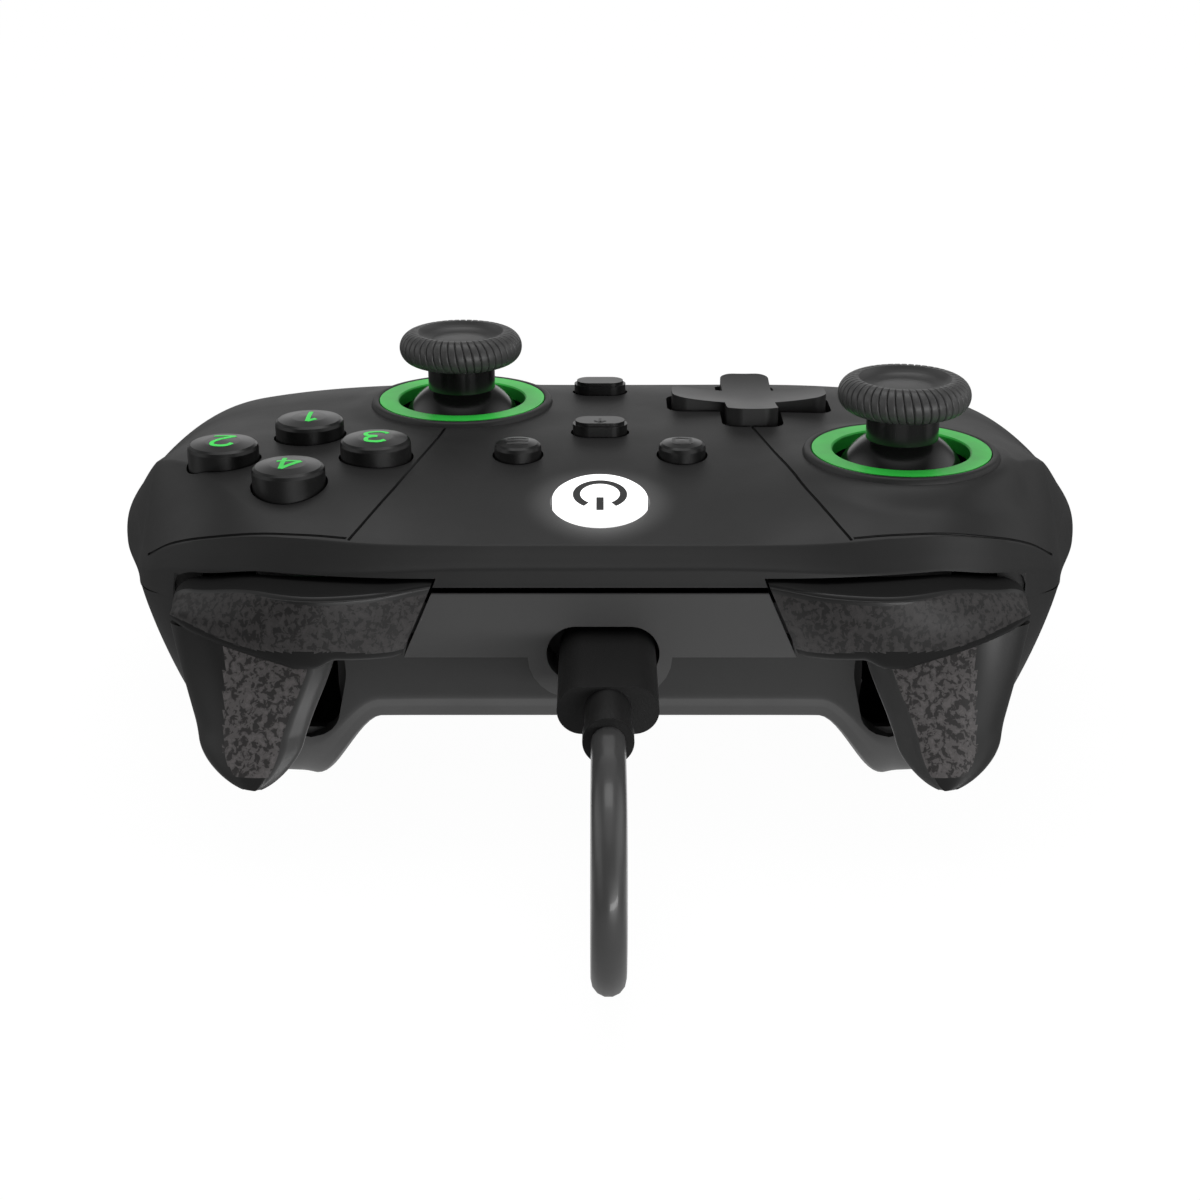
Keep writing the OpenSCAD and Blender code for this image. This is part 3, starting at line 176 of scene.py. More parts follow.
# Materials
class Shader:
    """A principled material with links from procedural textures in the part's own space."""

    def __init__(self, name, rough=0.5, metal=0.0, specular=0.5, coat=0.0):
        self.material = bpy.data.materials.new(name)
        self.material.use_nodes = True
        self.tree = self.material.node_tree
        self.base = self.tree.nodes["Principled BSDF"]
        self.base.inputs["Roughness"].default_value = rough
        self.base.inputs["Metallic"].default_value = metal
        self.base.inputs["Specular IOR Level"].default_value = specular
        self.base.inputs["Coat Weight"].default_value = coat
        self.base.inputs["Coat Roughness"].default_value = 0.06
        self.space = self.tree.nodes.new("ShaderNodeTexCoord").outputs["Object"]

    def add(self, kind, **values):
        node = self.tree.nodes.new(kind)
        for key, value in values.items():
            setattr(node, key, value)
        return node

    def link(self, output, target):
        self.tree.links.new(output, target)

    def noise(self, scale, detail=3.0, rough=0.5, distortion=0.0, stretch=None):
        """Noise whose scale counts waves per metre."""
        node = self.add("ShaderNodeTexNoise")
        node.inputs["Scale"].default_value = scale
        node.inputs["Detail"].default_value = detail
        node.inputs["Roughness"].default_value = rough
        node.inputs["Distortion"].default_value = distortion
        if stretch:
            squeeze = self.add("ShaderNodeMapping")
            squeeze.inputs["Scale"].default_value = stretch
            self.link(self.space, squeeze.inputs["Vector"])
            self.link(squeeze.outputs["Vector"], node.inputs["Vector"])
        else:
            self.link(self.space, node.inputs["Vector"])
        return node.outputs["Fac"]

    def ramp(self, factor, stops, steps="LINEAR"):
        node = self.add("ShaderNodeValToRGB")
        node.color_ramp.interpolation = steps
        elements = node.color_ramp.elements
        while len(elements) < len(stops):
            elements.new(0.5)
        for element, (place, colour) in zip(elements, stops):
            element.position = place
            element.color = (*colour, 1)
        self.link(factor, node.inputs["Fac"])
        return node.outputs["Color"]

    def spread(self, factor, low, high):
        node = self.add("ShaderNodeMapRange")
        node.inputs["To Min"].default_value = low
        node.inputs["To Max"].default_value = high
        self.link(factor, node.inputs["Value"])
        return node.outputs["Result"]

    def past(self, axis, start, end, low=0.0, high=1.0):
        """A value that goes from low to high between two places, in millimetres, along an axis."""
        split = self.add("ShaderNodeSeparateXYZ")
        self.link(self.space, split.inputs["Vector"])
        node = self.add("ShaderNodeMapRange")
        ends = {"From Min": start * MM, "From Max": end * MM, "To Min": low, "To Max": high}
        for socket, value in ends.items():
            node.inputs[socket].default_value = value
        self.link(split.outputs[axis], node.inputs["Value"])
        return node.outputs["Result"]

    def colour(self, factor, dark, light):
        self.link(self.ramp(factor, [(0.35, dark), (0.65, light)]), self.base.inputs["Base Color"])

    def roughness(self, factor, low, high):
        self.link(self.spread(factor, low, high), self.base.inputs["Roughness"])

    def bump(self, height, depth, strength=1.0):
        """Depth in millimetres."""
        node = self.add("ShaderNodeBump")
        node.inputs["Strength"].default_value = strength
        node.inputs["Distance"].default_value = depth * MM
        self.link(height, node.inputs["Height"])
        self.link(node.outputs["Normal"], self.base.inputs["Normal"])


def moulded(name, grey, rough, grain=0.01, tint=(1, 1, 1), coat=0.0, specular=0.5):
    """Moulded plastic: a fine grain, and slow patches in tone and gloss."""
    s = Shader(name, rough, specular=specular, coat=coat)
    tones = [tuple(grey * k * t for t in tint) for k in (0.86, 1.14)]
    s.colour(s.noise(90, 4), *tones)
    s.roughness(s.noise(160, 5), rough - 0.05, rough + 0.05)
    if grain:
        s.bump(s.noise(5200, 2, 0.6), grain)
    return s


def plain_metal(name, grey, rough):
    s = Shader(name, rough, metal=1.0)
    s.colour(s.noise(400, 4), (grey * 0.85,) * 3, (grey * 1.1,) * 3)
    s.roughness(s.noise(900, 3), rough - 0.06, rough + 0.08)
    return s


def camouflage(name, lift):
    """Printed patches of four close greys with crisp ragged edges, on matte plastic."""
    s = Shader(name, 0.5, specular=0.38)
    tones = [(place, tuple(lift * grey * t for t in (1, 0.93, 0.93)))
             for place, grey in ((0.0, 0.010), (0.45, 0.020), (0.485, 0.034), (0.60, 0.042))]
    patches = s.noise(1150, 3, 0.6, 0.5, (1.0, 1.2, 0.85))
    s.link(s.ramp(patches, tones, "CONSTANT"), s.base.inputs["Base Color"])
    s.roughness(patches, 0.42, 0.58)
    s.bump(s.noise(5200, 2, 0.6), 0.012)
    return s


case = moulded("case_plastic", 0.010, 0.52, 0.010)
panel = moulded("panel_plastic", 0.055, 0.50, 0.008)
# The panel's top edge lies in the gap under the top shell: painted shade turns its colour black there and
# takes its gloss away
panel.link(panel.past("Z", 34.6, 34.9, 0.5, 0), panel.base.inputs["Specular IOR Level"])
gap = panel.ramp(panel.past("Z", 34.6, 34.9), [(0, (0.055,) * 3), (1, (0, 0, 0))])
panel.link(gap, panel.base.inputs["Base Color"])
dark = moulded("dark_plastic", 0.009, 0.40, 0.006)
plug_black = moulded("plug_plastic", 0.004, 0.50, 0.03, specular=0.35)
gloss = moulded("gloss_plastic", 0.006, 0.30, 0.003)
rubber = moulded("cap_rubber", 0.060, 0.42, 0.006)
pad_black = moulded("pad_plastic", 0.020, 0.40, 0.004)
ring_green = moulded("ring_plastic", 0.54, 0.40, 0.0, (0.09, 1.55, 0.17))
mark_green = moulded("mark_print", 0.80, 0.5, 0.0, (0.10, 1.5, 0.20))
mark_grey = moulded("mark_moulded", 0.060, 0.5)
mark_lens = moulded("mark_lens", 0.03, 0.5)
sheath = moulded("cable_sheath", 0.066, 0.36, 0.004, coat=0.2)
grey_rubber = moulded("grey_rubber", 0.12, 0.6)
board = moulded("board_mask", 0.06, 0.4, 0.0, (0.3, 1.5, 0.6))
steel = plain_metal("steel", 0.6, 0.32)
bumper_camo = camouflage("bumper_print", 0.95)
# The trigger's copy of the same print is three times lighter than the bumper's, as painted light
trigger_camo_lit_copy = camouflage("trigger_print_painted_lighter", 3.0)
# Dark low-gloss plastic: the bumper's own lower lip, and painted shade on the bumper's top face and on the
# walls inside the bays
lip_and_shade_black = moulded("lip_and_painted_shade_plastic", 0.006, 0.6, 0.004, specular=0.2)
# A lighter grey that paints the highlight along the trigger's rounded inner roll
roll_painted_highlight = moulded("roll_painted_highlight_plastic", 0.042, 0.34, 0.004)
post_black = moulded("post_plastic", 0.006, 0.17, 0.0)
lens = moulded("lit_lens", 0.8, 0.25, 0.0)
lens.base.inputs["Emission Color"].default_value = (1, 1, 1, 1)
lens.link(lens.past("Z", 40.6, 41.6, 0, 1.2), lens.base.inputs["Emission Strength"])

# Painted light: the lit button's soft ring of light on the face round it is painted as a glow in the case
# material
HOME_AT = (0, -30, 42.7)
away = case.add("ShaderNodeVectorMath", operation="DISTANCE")
away.inputs[1].default_value = [c * MM for c in HOME_AT]
case.link(case.space, away.inputs[0])
painted_halo = case.add("ShaderNodeMapRange", interpolation_type="SMOOTHSTEP")
for socket, value in (("From Min", 6 * MM), ("From Max", 11 * MM), ("To Min", 0.055), ("To Max", 0)):
    painted_halo.inputs[socket].default_value = value
case.link(away.outputs["Value"], painted_halo.inputs["Value"])
case.link(painted_halo.outputs["Result"], case.base.inputs["Emission Strength"])
case.base.inputs["Emission Color"].default_value = (1, 1, 1, 1)

# Cable: the same route as the solids, as one smooth line from the strain relief to the far plug
CABLE_D = 4.2
LEAD = [
    (1, -71, 26.2), (1, -76, 26.2), (1, -81, 26.2), (1, -85.5, 25.4), (1, -89.5, 23), (1, -92.5, 19.2),
    (1, -93.8, 14.6), (1, -93.1, 10), (1, -90.6, 6), (1, -86.6, 3.3), (1, -81.5, 2.3), (1, -76, 2.1),
    (1, -64, 2.1), (1, -52, 2.1), (1, -40, 2.1), (1, -28, 2.1), (1, -16, 2.1), (1, -4, 2.2), (1, 8, 2.5),
    (1, 18, 2.8), (1, 26.7, 3), (2.1, 32.4, 3.1), (5.4, 37.3, 3.1), (10.3, 40.6, 3.1), (16, 41.7, 3.1)]
TAIL = [
    (16, 112.3, 17.2), (8, 112.3, 17), (0, 111.7, 15.8), (-8, 110, 13.4), (-16, 107, 10.2),
    (-23, 102.8, 7.2), (-28.5, 97.5, 5.1), (-32.3, 91, 4.1), (-34.2, 84, 3.9), (-35, 77, 3.9),
    (-35, 71, 3.9)]
COIL_AT, COIL_R, COIL_Z, PITCH, LAYERS, TURNS, STEPS = (16, 77), 35.3, 3.1, 4.7, 4, 17.5, 24


def coil_point(i):
    t, share = i / STEPS, TURNS / LAYERS
    k = min(LAYERS - 1, math.floor(t / share))
    s = t - k * share
    r = COIL_R - PITCH * (s if k % 2 == 0 else share - s)
    near = math.floor(t / share + 0.5)
    climb = min(1, max(0, (t - near * share + 0.25) / 0.5))
    level = 0 if near == 0 else LAYERS - 1 if near == LAYERS else near - 1 + climb
    a = 2 * math.pi * t - math.pi / 2
    return COIL_AT[0] + r * math.cos(a), COIL_AT[1] + r * math.sin(a), COIL_Z + PITCH * level


route = LEAD + [coil_point(i) for i in range(1, int(TURNS * STEPS))] + TAIL
line = bpy.data.curves.new("cable", "CURVE")
line.dimensions = "3D"
line.bevel_depth = CABLE_D / 2 * MM
line.bevel_resolution = 5
line.resolution_u = 6
strand = line.splines.new("BEZIER")
strand.bezier_points.add(len(route) - 1)
for knot, p in zip(strand.bezier_points, route):
    knot.co = [c * MM for c in p]
    knot.handle_left_type = knot.handle_right_type = "AUTO"
line.materials.append(sheath.material)
cable = bpy.data.objects.new("cable", line)
scene.collection.objects.link(cable)
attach(cable, "case")
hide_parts("cable_lead", "cable_coil", "cable_tail")

# Case: the same formulas as the solids, sampled finely
FACE_Z, SEAM_Z, SEAM_DROP, BELLY_Z, WALL, SEAM_GAP = 45.3, 35.4, 5.4, 12.5, 2.2, 0.4
FRONT_REACH, WALL_REACH, ARCH_REACH, GRIP_REACH = 44, 38, 33, 52
SIDE_X, SIDE_Y, FLAT_X, SHOULDER = 75, 17, 24, (66, -20)
TIP_X, INNER_GRIP = 57, (35, 39)
LEG_FROM, LEG_TO = 30.3, 41.2
SIDE_SEAM, TIP_SEAM, ARCH_SEAM = 25, 18, 31


def lerp(a, b, t):
    return a + (b - a) * t


def share_of(a, b, x):
    return np.clip((x - a) / (b - a), 0, 1)


def ease(a, b, x):
    t = share_of(a, b, x)
    return t * t * (3 - 2 * t)


def bez(p, t):
    t = np.asarray(t, float)[..., None]
    p = np.asarray(p, float)
    return p[0] * (1 - t) ** 3 + p[1] * 3 * t * (1 - t) ** 2 + p[2] * 3 * t * t * (1 - t) + p[3] * t ** 3


def front_plan(u, reach):
    flat = np.stack([FLAT_X * u / 0.3, 0 * u - reach], -1)
    bend = bez([(FLAT_X, -reach), (44, -reach), (61.5, -39), SHOULDER], share_of(0.3, 0.8, u))
    side = bez([SHOULDER, (69, -7.3), (SIDE_X, 4), (SIDE_X, SIDE_Y)], share_of(0.8, 1, u))
    return np.where((u < 0.3)[..., None], flat, np.where((u < 0.8)[..., None], bend, side))


def rear_plan(u):
    arch = bez([(0, ARCH_REACH), (14, ARCH_REACH), (26, 33.5), INNER_GRIP], share_of(0, 0.44, u))
    grip = bez([INNER_GRIP, (41.5, 43), (46, GRIP_REACH), (TIP_X, GRIP_REACH)], share_of(0.44, 0.74, u))
    side = bez([(TIP_X, GRIP_REACH), (67, GRIP_REACH), (SIDE_X, 35), (SIDE_X, SIDE_Y)],
               share_of(0.74, 1, u))
    return np.where((u < 0.44)[..., None], arch, np.where((u < 0.74)[..., None], grip, side))


def front_seam(x):
    return (SEAM_Z - SEAM_DROP * ease(FLAT_X, 58, x)
            - (SEAM_Z - SEAM_DROP - SIDE_SEAM) * ease(58, SIDE_X, x))


def rear_seam(u):
    return np.where(u < 0.74, lerp(ARCH_SEAM, TIP_SEAM, ease(0.1, 0.74, u)),
                    lerp(TIP_SEAM, SIDE_SEAM, ease(0.74, 1, u)))


def face_back(y):
    crown = 0.0006 * np.maximum(0, y * (14 - y))
    return FACE_Z + crown - 0.0095 * np.maximum(0, y - 14) ** 2


def face_mid(y):
    return face_back(y) - 0.00146 * np.maximum(0, -y) ** 2.2


def face_side(y):
    return face_back(y) - 4.6 * (np.maximum(0, -y - 22) / 18) ** 2.2


def flank(x, start, a, b):
    return (1 - share_of(start, SIDE_X, np.abs(x)) ** a) ** b


def face_at(x, y):
    """The middle slopes to the front; the sides stay flat and roll over late."""
    x, y = np.asarray(x, float), np.asarray(y, float)
    camber = lerp(1e-7, 2.7e-7, ease(-12, 14, y))
    return lerp(face_mid(y), face_side(y), ease(14, 36, np.abs(x))) - camber * x ** 4


def face_height(x, y, seam):
    return seam + (face_at(x, y) - seam) * flank(x, 54, 2.4, 0.55)


def under_height(x, y, seam):
    belly = BELLY_Z + 0.012 * np.maximum(0, y - 4) ** 2
    foot = 0.012 * np.maximum(0, -22 - y) ** 2 + 0.012 * np.maximum(0, y - 26) ** 2
    tuck = 10 * ease(18, -22, y)
    leg = ease(LEG_FROM, LEG_TO, np.abs(x))
    return seam - (seam - lerp(belly, foot, leg)) * flank(np.abs(x) + tuck, 58, 1.7, 0.7)


def softened(k, stops, soft=0.16):
    """A line through stops at whole numbers, with its corners rounded a little."""
    near = [np.interp(k + d * soft, range(len(stops)), stops) for d in (-1, -0.5, 0, 0.5, 1)]
    return np.where((k == 0) | (k == len(stops) - 1), np.interp(k, range(len(stops)), stops),
                    np.mean(near, axis=0))


# Upper front: how far in the roll to the face reaches, and the column where the upright band ends
FRONT_ROLL, BAND_TOP = 14, 2.4
# Lower front wall between the grips, upright with an edge and a lip: places inward and shares of height
WALL_EDGE = [(0.05, 0.28), (0.1, 0.55), (0.15, 0.80), (1.6, 0.88), (2.9, 0.97), (4.5, 1)]


def crease_share(x):
    """How far in the crease over the front band lies, as a share of its place in the middle."""
    return lerp(1, 0.5, ease(36, 54, x))


def section(u, top, front, face, back):
    """Distance along the section and share of the height, for rows u and the given columns."""
    v = np.abs(u)
    f, r = front_plan(v, FRONT_REACH if top else WALL_REACH), rear_plan(v)
    length = np.linalg.norm(r - f, axis=-1)[:, None]
    x = f[:, :1]
    if top:
        # An upright band up to a crease, which sinks towards the sides, and a slope from there to the face
        band, slope = np.clip(4 * front / BAND_TOP, 0, 4), share_of(BAND_TOP, 4, front)
        low = 1 - 0.62 * np.clip((x - 43) / 19, 0, 1.22) ** 1.75
        run = lerp(2.5, FRONT_ROLL, ease(42, 62, x))
        s1 = softened(band, [0, 0.4, 0.8, 2.1, 3.5]) * crease_share(x) + run * slope
        h1 = low * softened(band, [0, 0.3, 0.59, 0.8, 1]) + (1 - low) * (1 - (1 - slope) ** 1.4)
        # Round at the sides
        turn = np.radians(np.interp(front, range(5), [0, 20, 42, 66, 90]))
        s2, h2 = np.minimum(FRONT_ROLL, 0.35 * length) * (1 - np.cos(turn)), np.sin(turn)
        s0, h0 = (lerp(a, b, ease(61, SIDE_X, x)) for a, b in ((s1, s2), (h1, h2)))
    else:
        leg = ease(LEG_FROM, LEG_TO, x)
        p = lerp(0.5, 0.72, leg)
        turn = np.radians(front)
        s0 = np.minimum(lerp(8, 13, leg), 0.45 * length) * (1 - np.cos(turn)) ** (1 / p / 1.4)
        h0 = np.sin(turn) ** p
        edge = front * len(WALL_EDGE) / 90
        places, heights = (softened(edge, [0] + [e[i] for e in WALL_EDGE], 0.1) for i in (0, 1))
        s0, h0 = (lerp(a, b, ease(34, 44, x)) for a, b in ((places, s0), (heights, h0)))
    wb = np.minimum(lerp(10, 17, ease(30, 50, r[:, :1])), 0.45 * length)
    turn = np.radians(back)
    sb, hb = length - wb * (1 - np.cos(turn)), np.sin(turn) ** 0.85
    sm = lerp(s0[:, -1:], sb[:, :1], face)
    hm = lerp(h0[:, -1:], 1, ease(0, 0.5, face)) + 0 * sm
    return f, r, length, np.hstack([s0, sm, sb]), np.hstack([h0, hm, hb + 0 * sb])


def skin(u, top, inset, columns):
    f, r, length, s, share = section(u, top, *columns)
    t0, t = s / length, (inset + s * (length - 2 * inset) / length) / length
    x0, y0 = (f[:, i:i + 1] + (r - f)[:, i:i + 1] * t0 for i in (0, 1))
    x, y = (f[:, i:i + 1] + (r - f)[:, i:i + 1] * t for i in (0, 1))
    seam = lerp(front_seam(f[:, :1]), rear_seam(np.abs(u))[:, None], t0)
    rim = seam + (SEAM_GAP / 2 if top else -SEAM_GAP / 2)
    end = face_height(x0, y0, seam) - inset if top else under_height(x0, y0, seam) + inset
    side = np.where(u < 0, -1, 1)[:, None]
    return np.stack([side * x * (SIDE_X - inset) / SIDE_X, y, lerp(rim, end, share)], -1)


def cup(outer, inner, top):
    """Points and faces of a shell between two skins that meet at the seam and at two side points."""
    n, a, b = len(outer), outer.shape[1], inner.shape[1]
    gap = (SEAM_GAP if top else -SEAM_GAP) / 2
    ends = [(e * (SIDE_X - inset), SIDE_Y, SIDE_SEAM + gap) for inset in (0, WALL) for e in (-1, 1)]
    points = ends + outer.reshape(-1, 3).tolist() + inner.reshape(-1, 3).tolist()
    grid = [np.arange(n * a).reshape(n, a) + 4, np.arange(n * b).reshape(n, b) + 4 + n * a]
    faces = []
    for which, g in enumerate(grid):
        faces += np.stack([g[:-1, :-1], g[:-1, 1:], g[1:, 1:], g[1:, :-1]], -1).reshape(-1, 4).tolist()
        for e, row in ((0, g[0]), (1, g[-1])):
            faces += [[which * 2 + e, p, q] for p, q in zip(row[:-1].tolist(), row[1:].tolist())]
    for side in (0, -1):
        o, i = grid[0][:, side].tolist(), grid[1][:, side].tolist()
        faces += [[o[k], o[k + 1], i[k + 1], i[k]] for k in range(n - 1)]
        faces += [[e, o[-e], i[-e], e + 2] for e in (0, 1)]
    return points, faces


half = np.concatenate([np.linspace(0, 0.9, 120)[1:], np.linspace(0.9, 0.995, 26)[1:]])
rows = np.concatenate([-half[::-1], [0], half])
fine_top = (np.linspace(0, 4, 61), np.linspace(0, 1, 122)[1:-1], np.linspace(90, 0, 46))
fine_bottom = (np.linspace(0, 90, 73), np.linspace(0, 1, 62)[1:-1], np.linspace(90, 0, 40))
plain_top = (np.array([0, 1, 2, 3, 4.0]), np.linspace(0, 1, 12)[1:-1], np.linspace(90, 0, 9))
plain_bottom = (np.array([0, 20, 38, 54, 70, 90.0]), np.linspace(0, 1, 12)[1:-1], np.linspace(90, 0, 9))

# Places of the controls
LEFT_STICK, RIGHT_STICK, CLUSTER, PAD = (42.6, -17), (-21.2, 9.7), (-42.5, -17), (22.8, 9.7)
RING_D, RING_TOP = 25.2, 46.2
BUTTONS = [(CLUSTER[0] + 10.8 * x, CLUSTER[1] + 10.8 * y) for x, y in ((0, 1), (-1, 0), (1, 0), (0, -1))]
MENU, VIEW, SHARE, MODE, HOME = (-11.7, -15), (11.7, -15), (0, -5.5), (0, 16.5), (0, -30)
PLAY, PAD_PLAY, SHOULDER_GAP = 0.3, 0.8, 0.5

top_skin = skin(rows, True, 0, fine_top)
for at in (LEFT_STICK, RIGHT_STICK):
    from_stick = np.hypot(top_skin[..., 0] - at[0], top_skin[..., 1] - at[1])
    lift = np.maximum(0, RING_TOP - 0.7 - top_skin[..., 2])
    top_skin[..., 2] += lift * (1 - ease(RING_D / 2 + 0.8, RING_D / 2 + 6, from_stick)) ** 1.3
top_shell = new_object("case_top", *cup(top_skin, skin(rows, True, WALL, plain_top), True), [case.material])
surface = BVHTree.FromPolygons([p.co for p in top_shell.data.vertices],
                               [list(f.vertices) for f in top_shell.data.polygons])


def height_at(x, y):
    """Height of the case's face over the table."""
    return surface.ray_cast(Vector((x, y, 100)) * MM, Vector((0, 0, -1)))[0].z / MM


def rounded(shape, radius, steps=8):
    """An outline that runs counter-clockwise, with its outward corners rounded."""
    out = []
    for i, p in enumerate(shape):
        back, on = (np.subtract(shape[k % len(shape)], p) for k in (i - 1, i + 1))
        back, on = back / np.linalg.norm(back), on / np.linalg.norm(on)
        if on[0] * back[1] - on[1] * back[0] > 0:
            middle = np.add(p, radius * (back + on))
            for t in np.linspace(0, math.pi / 2, steps):
                out.append(tuple(middle - radius * (on * math.cos(t) + back * math.sin(t))))
        else:
            out.append(tuple(p))
    return out


def plus(w, arm, at, radius):
    a, b = arm / 2, w / 2
    shape = [(a, a), (a, b), (-a, b), (-a, a), (-b, a), (-b, -a), (-a, -a), (-a, -b), (a, -b), (a, -a),
             (b, -a), (b, a)]
    return [(at[0] + x, at[1] + y) for x, y in rounded(shape, radius)]


# Openings for the bumpers and the triggers
BUMPER_TOP, BUMPER_TOP_OUT, BUMPER_IN, BUMPER_OUT, SLANT = 36.2, 34.2, 22, 57.4, 4.4
TIP_Z, TRIGGER_TOP = 9.9, 26.4


def bumper_low(x):
    return np.where(x < 40, lerp(26, 26.8, share_of(24, 33.5, x)) - 1.1 * ease(33.5, 37, x),
                    lerp(25.7, 29.4, share_of(40, BUMPER_OUT, x) ** 0.8))


def bumper_high(x):
    return lerp(BUMPER_TOP, BUMPER_TOP_OUT, ease(44, BUMPER_OUT, x))


def panel_end(z):
    return BUMPER_IN + SLANT * (BUMPER_TOP - z) / (BUMPER_TOP - 26)


def bumper_corner(x):
    """How far the rounded outer corner lies under the bumper's straight top edge."""
    return 2.4 * (1 - np.sqrt(1 - share_of(BUMPER_OUT - 3.4, BUMPER_OUT, x) ** 2))


def bumper_window(g):
    xs = np.linspace(33.5, BUMPER_OUT, 60)
    out = [(panel_end(BUMPER_TOP) - g, BUMPER_TOP + g), (panel_end(26) - g, 26 - g)]
    out += [(x, float(bumper_low(x)) - g) for x in xs]
    out += [(BUMPER_OUT + g, float(bumper_low(BUMPER_OUT)) - g)]
    return out + [(x + g * float(share_of(50, BUMPER_OUT, x)), float(bumper_high(x) - bumper_corner(x)) + g)
                  for x in xs[::-1] if x >= 42]


def trigger_half(z):
    return (6.3 + 0.29 * (z - TIP_Z)) * np.sqrt(1 - np.clip((TIP_Z + 4.6 - z) / 4.61, 0, 1) ** 2)


def trigger_mid(z):
    return 45 + 0.08 * (z - TIP_Z)


def trigger_front(z):
    return -52 + 10 * share_of(TIP_Z, TRIGGER_TOP, z) ** 0.9


def trigger_depth(z):
    return 3.4 + 3.2 * share_of(TIP_Z, TRIGGER_TOP, z)


def trigger_window(g):
    zs = np.linspace(26.4, 10.4, 17)
    right = [(trigger_mid(z) + trigger_half(z) + g, z - g) for z in zs]
    left = [(trigger_mid(z) - trigger_half(z) - 1.3 * ease(26.4, 20, z) - g, z - g) for z in zs[::-1]]
    return [(left[-1][0], 34), (right[0][0] + 0.6, 34)] + right + left


def both(part):
    points, faces = part
    return [part, (mirrored(points), faces)]


bays = both(prism(bumper_window(SHOULDER_GAP), "y", -60, -33.4))
bays += both(prism(trigger_window(SHOULDER_GAP), "y", -60, -34))
deep = [(np.clip(x, 36.3, 53.7), z) for x, z in trigger_window(SHOULDER_GAP) if z > 10.6]
bays += both(prism(deep, "y", -40, -24))
headset_hole = prism(circle(3.4, (0, 32.6), 40), "y", 27, 45)

# Thin panel grooves that run from the stick ring and the pad to the front crease and out along it
GROOVE_LINE = [(22.4, -2.2), (24.6, -13.1), (26.3, -21), (27.9, -27.9), (29.7, -33), (31.5, -36.9),
               (33.2, -39.8)]
GROOVE_SHAPE = [(0.2, 0.6), (0.2, -0.2), (0, -0.45), (-0.2, -0.2), (-0.2, 0.6)]
GROOVE_INWARD = 4.1


def on_skin(u):
    """Point of the top face just behind the front crease."""
    row = np.array([u])
    places = section(row, True, *fine_top)[3][0]
    inward = GROOVE_INWARD * float(crease_share(front_plan(row, FRONT_REACH)[0, 0]))
    return [np.interp(inward, places, line) for line in skin(row, True, 0, fine_top)[0].T]


def groove_part(path, side):
    path = np.array(path) * (side, 1, 1)
    rings = []
    for p, d in zip(path, np.gradient(path, axis=0)):
        out = surface.find_nearest(Vector(p) * MM)[1]
        out = np.array(out) * np.sign(out.z)
        across = np.cross(out, d / np.linalg.norm(d))
        rings.append([p + across * w + out * h for w, h in GROOVE_SHAPE])
    return loft(rings)


def groove(side):
    down = [(x, y, height_at(x, y)) for x, y in spline(GROOVE_LINE, 8)]
    along = [on_skin(u) for u in np.linspace(0.382, 0.735, 60)]
    return [groove_part(path, side) for path in (down, along)]


holes = [prism(circle(RING_D / 2 + 0.1, at), "z", RING_TOP - 3.5, 60) for at in (LEFT_STICK, RIGHT_STICK)]
holes += [prism(circle(RING_D / 2 - 1.4, at), "z", 30, 44) for at in (LEFT_STICK, RIGHT_STICK)]
holes += [prism(circle(5 + PLAY, at), "z", 34, 60) for at in BUTTONS]
holes += [prism(circle(3.35 + PLAY, at, 48), "z", 34, 60) for at in (MENU, VIEW)]
holes += [prism(stadium(8 + 2 * PLAY, 4.6 + 2 * PLAY, at), "z", 34, 60) for at in (SHARE, MODE)]
holes.append(prism(plus(23.5 + 2 * PAD_PLAY, 7.6 + 2 * PAD_PLAY, PAD, 2.2), "z", 34, 60))
HOME_LEAN = math.radians(12)
home_z = float(face_mid(np.float64(HOME[1])))
home_hole = [[(x, HOME[1] + y * math.cos(HOME_LEAN) - h * math.sin(HOME_LEAN),
               home_z + y * math.sin(HOME_LEAN) + h * math.cos(HOME_LEAN)) for x, y in circle(6.5 + PLAY)]
             for h in (-8, 8)]
holes.append(loft(home_hole))
cut(top_shell, holes + bays + [headset_hole] + groove(1) + groove(-1))
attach(top_shell, "case")
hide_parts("top_shell")

lip = [(12.7, -3.6), (12.7, -0.2), (12.78, -0.06), (12.95, 0), (13.35, 0), (13.6, -0.08), (13.8, -0.3),
       (13.95, -0.8), (14.3, -2.2), (14.3, -3.6)]
rims = merged(*[revolve(lip, (*at, RING_TOP)) for at in (LEFT_STICK, RIGHT_STICK)])
stick_rims = new_object("stick_rims", *rims, [case.material], angle=50)
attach(stick_rims, "case")

bottom_skin = skin(rows, False, 0, fine_bottom)
bottom_shell = new_object("case_bottom", *cup(bottom_skin, skin(rows, False, WALL, plain_bottom), False),
                          [case.material])
SCREW_HEAD_R = 2.5
BODY_SCREWS, GRIP_SCREWS = ((39, 2), (-36, 4), (12, -26), (-12, -26)), ((61, 30), (-61, 30))
screw_holes = [prism(circle(SCREW_HEAD_R, at, 32), "z", -5, 20) for at in BODY_SCREWS]
screw_holes += [prism(circle(SCREW_HEAD_R, at, 32), "z", -5, 9) for at in GRIP_SCREWS]
socket_hole = prism([(-4.1, 24.1), (6.1, 24.1), (6.1, 28.3), (-4.1, 28.3)], "y", -45, -33)
cut(bottom_shell, bays + screw_holes + [headset_hole, socket_hole])
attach(bottom_shell, "case")
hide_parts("bottom_shell")


def bay_wall(x, low, thick):
    outline = [(-33.6, 29.2), (-29.4, 31), (-26.6, 31), (-26.6, low), (-29, low), (-33.6, low + 9)]
    return prism(outline, "x", x, x + thick)


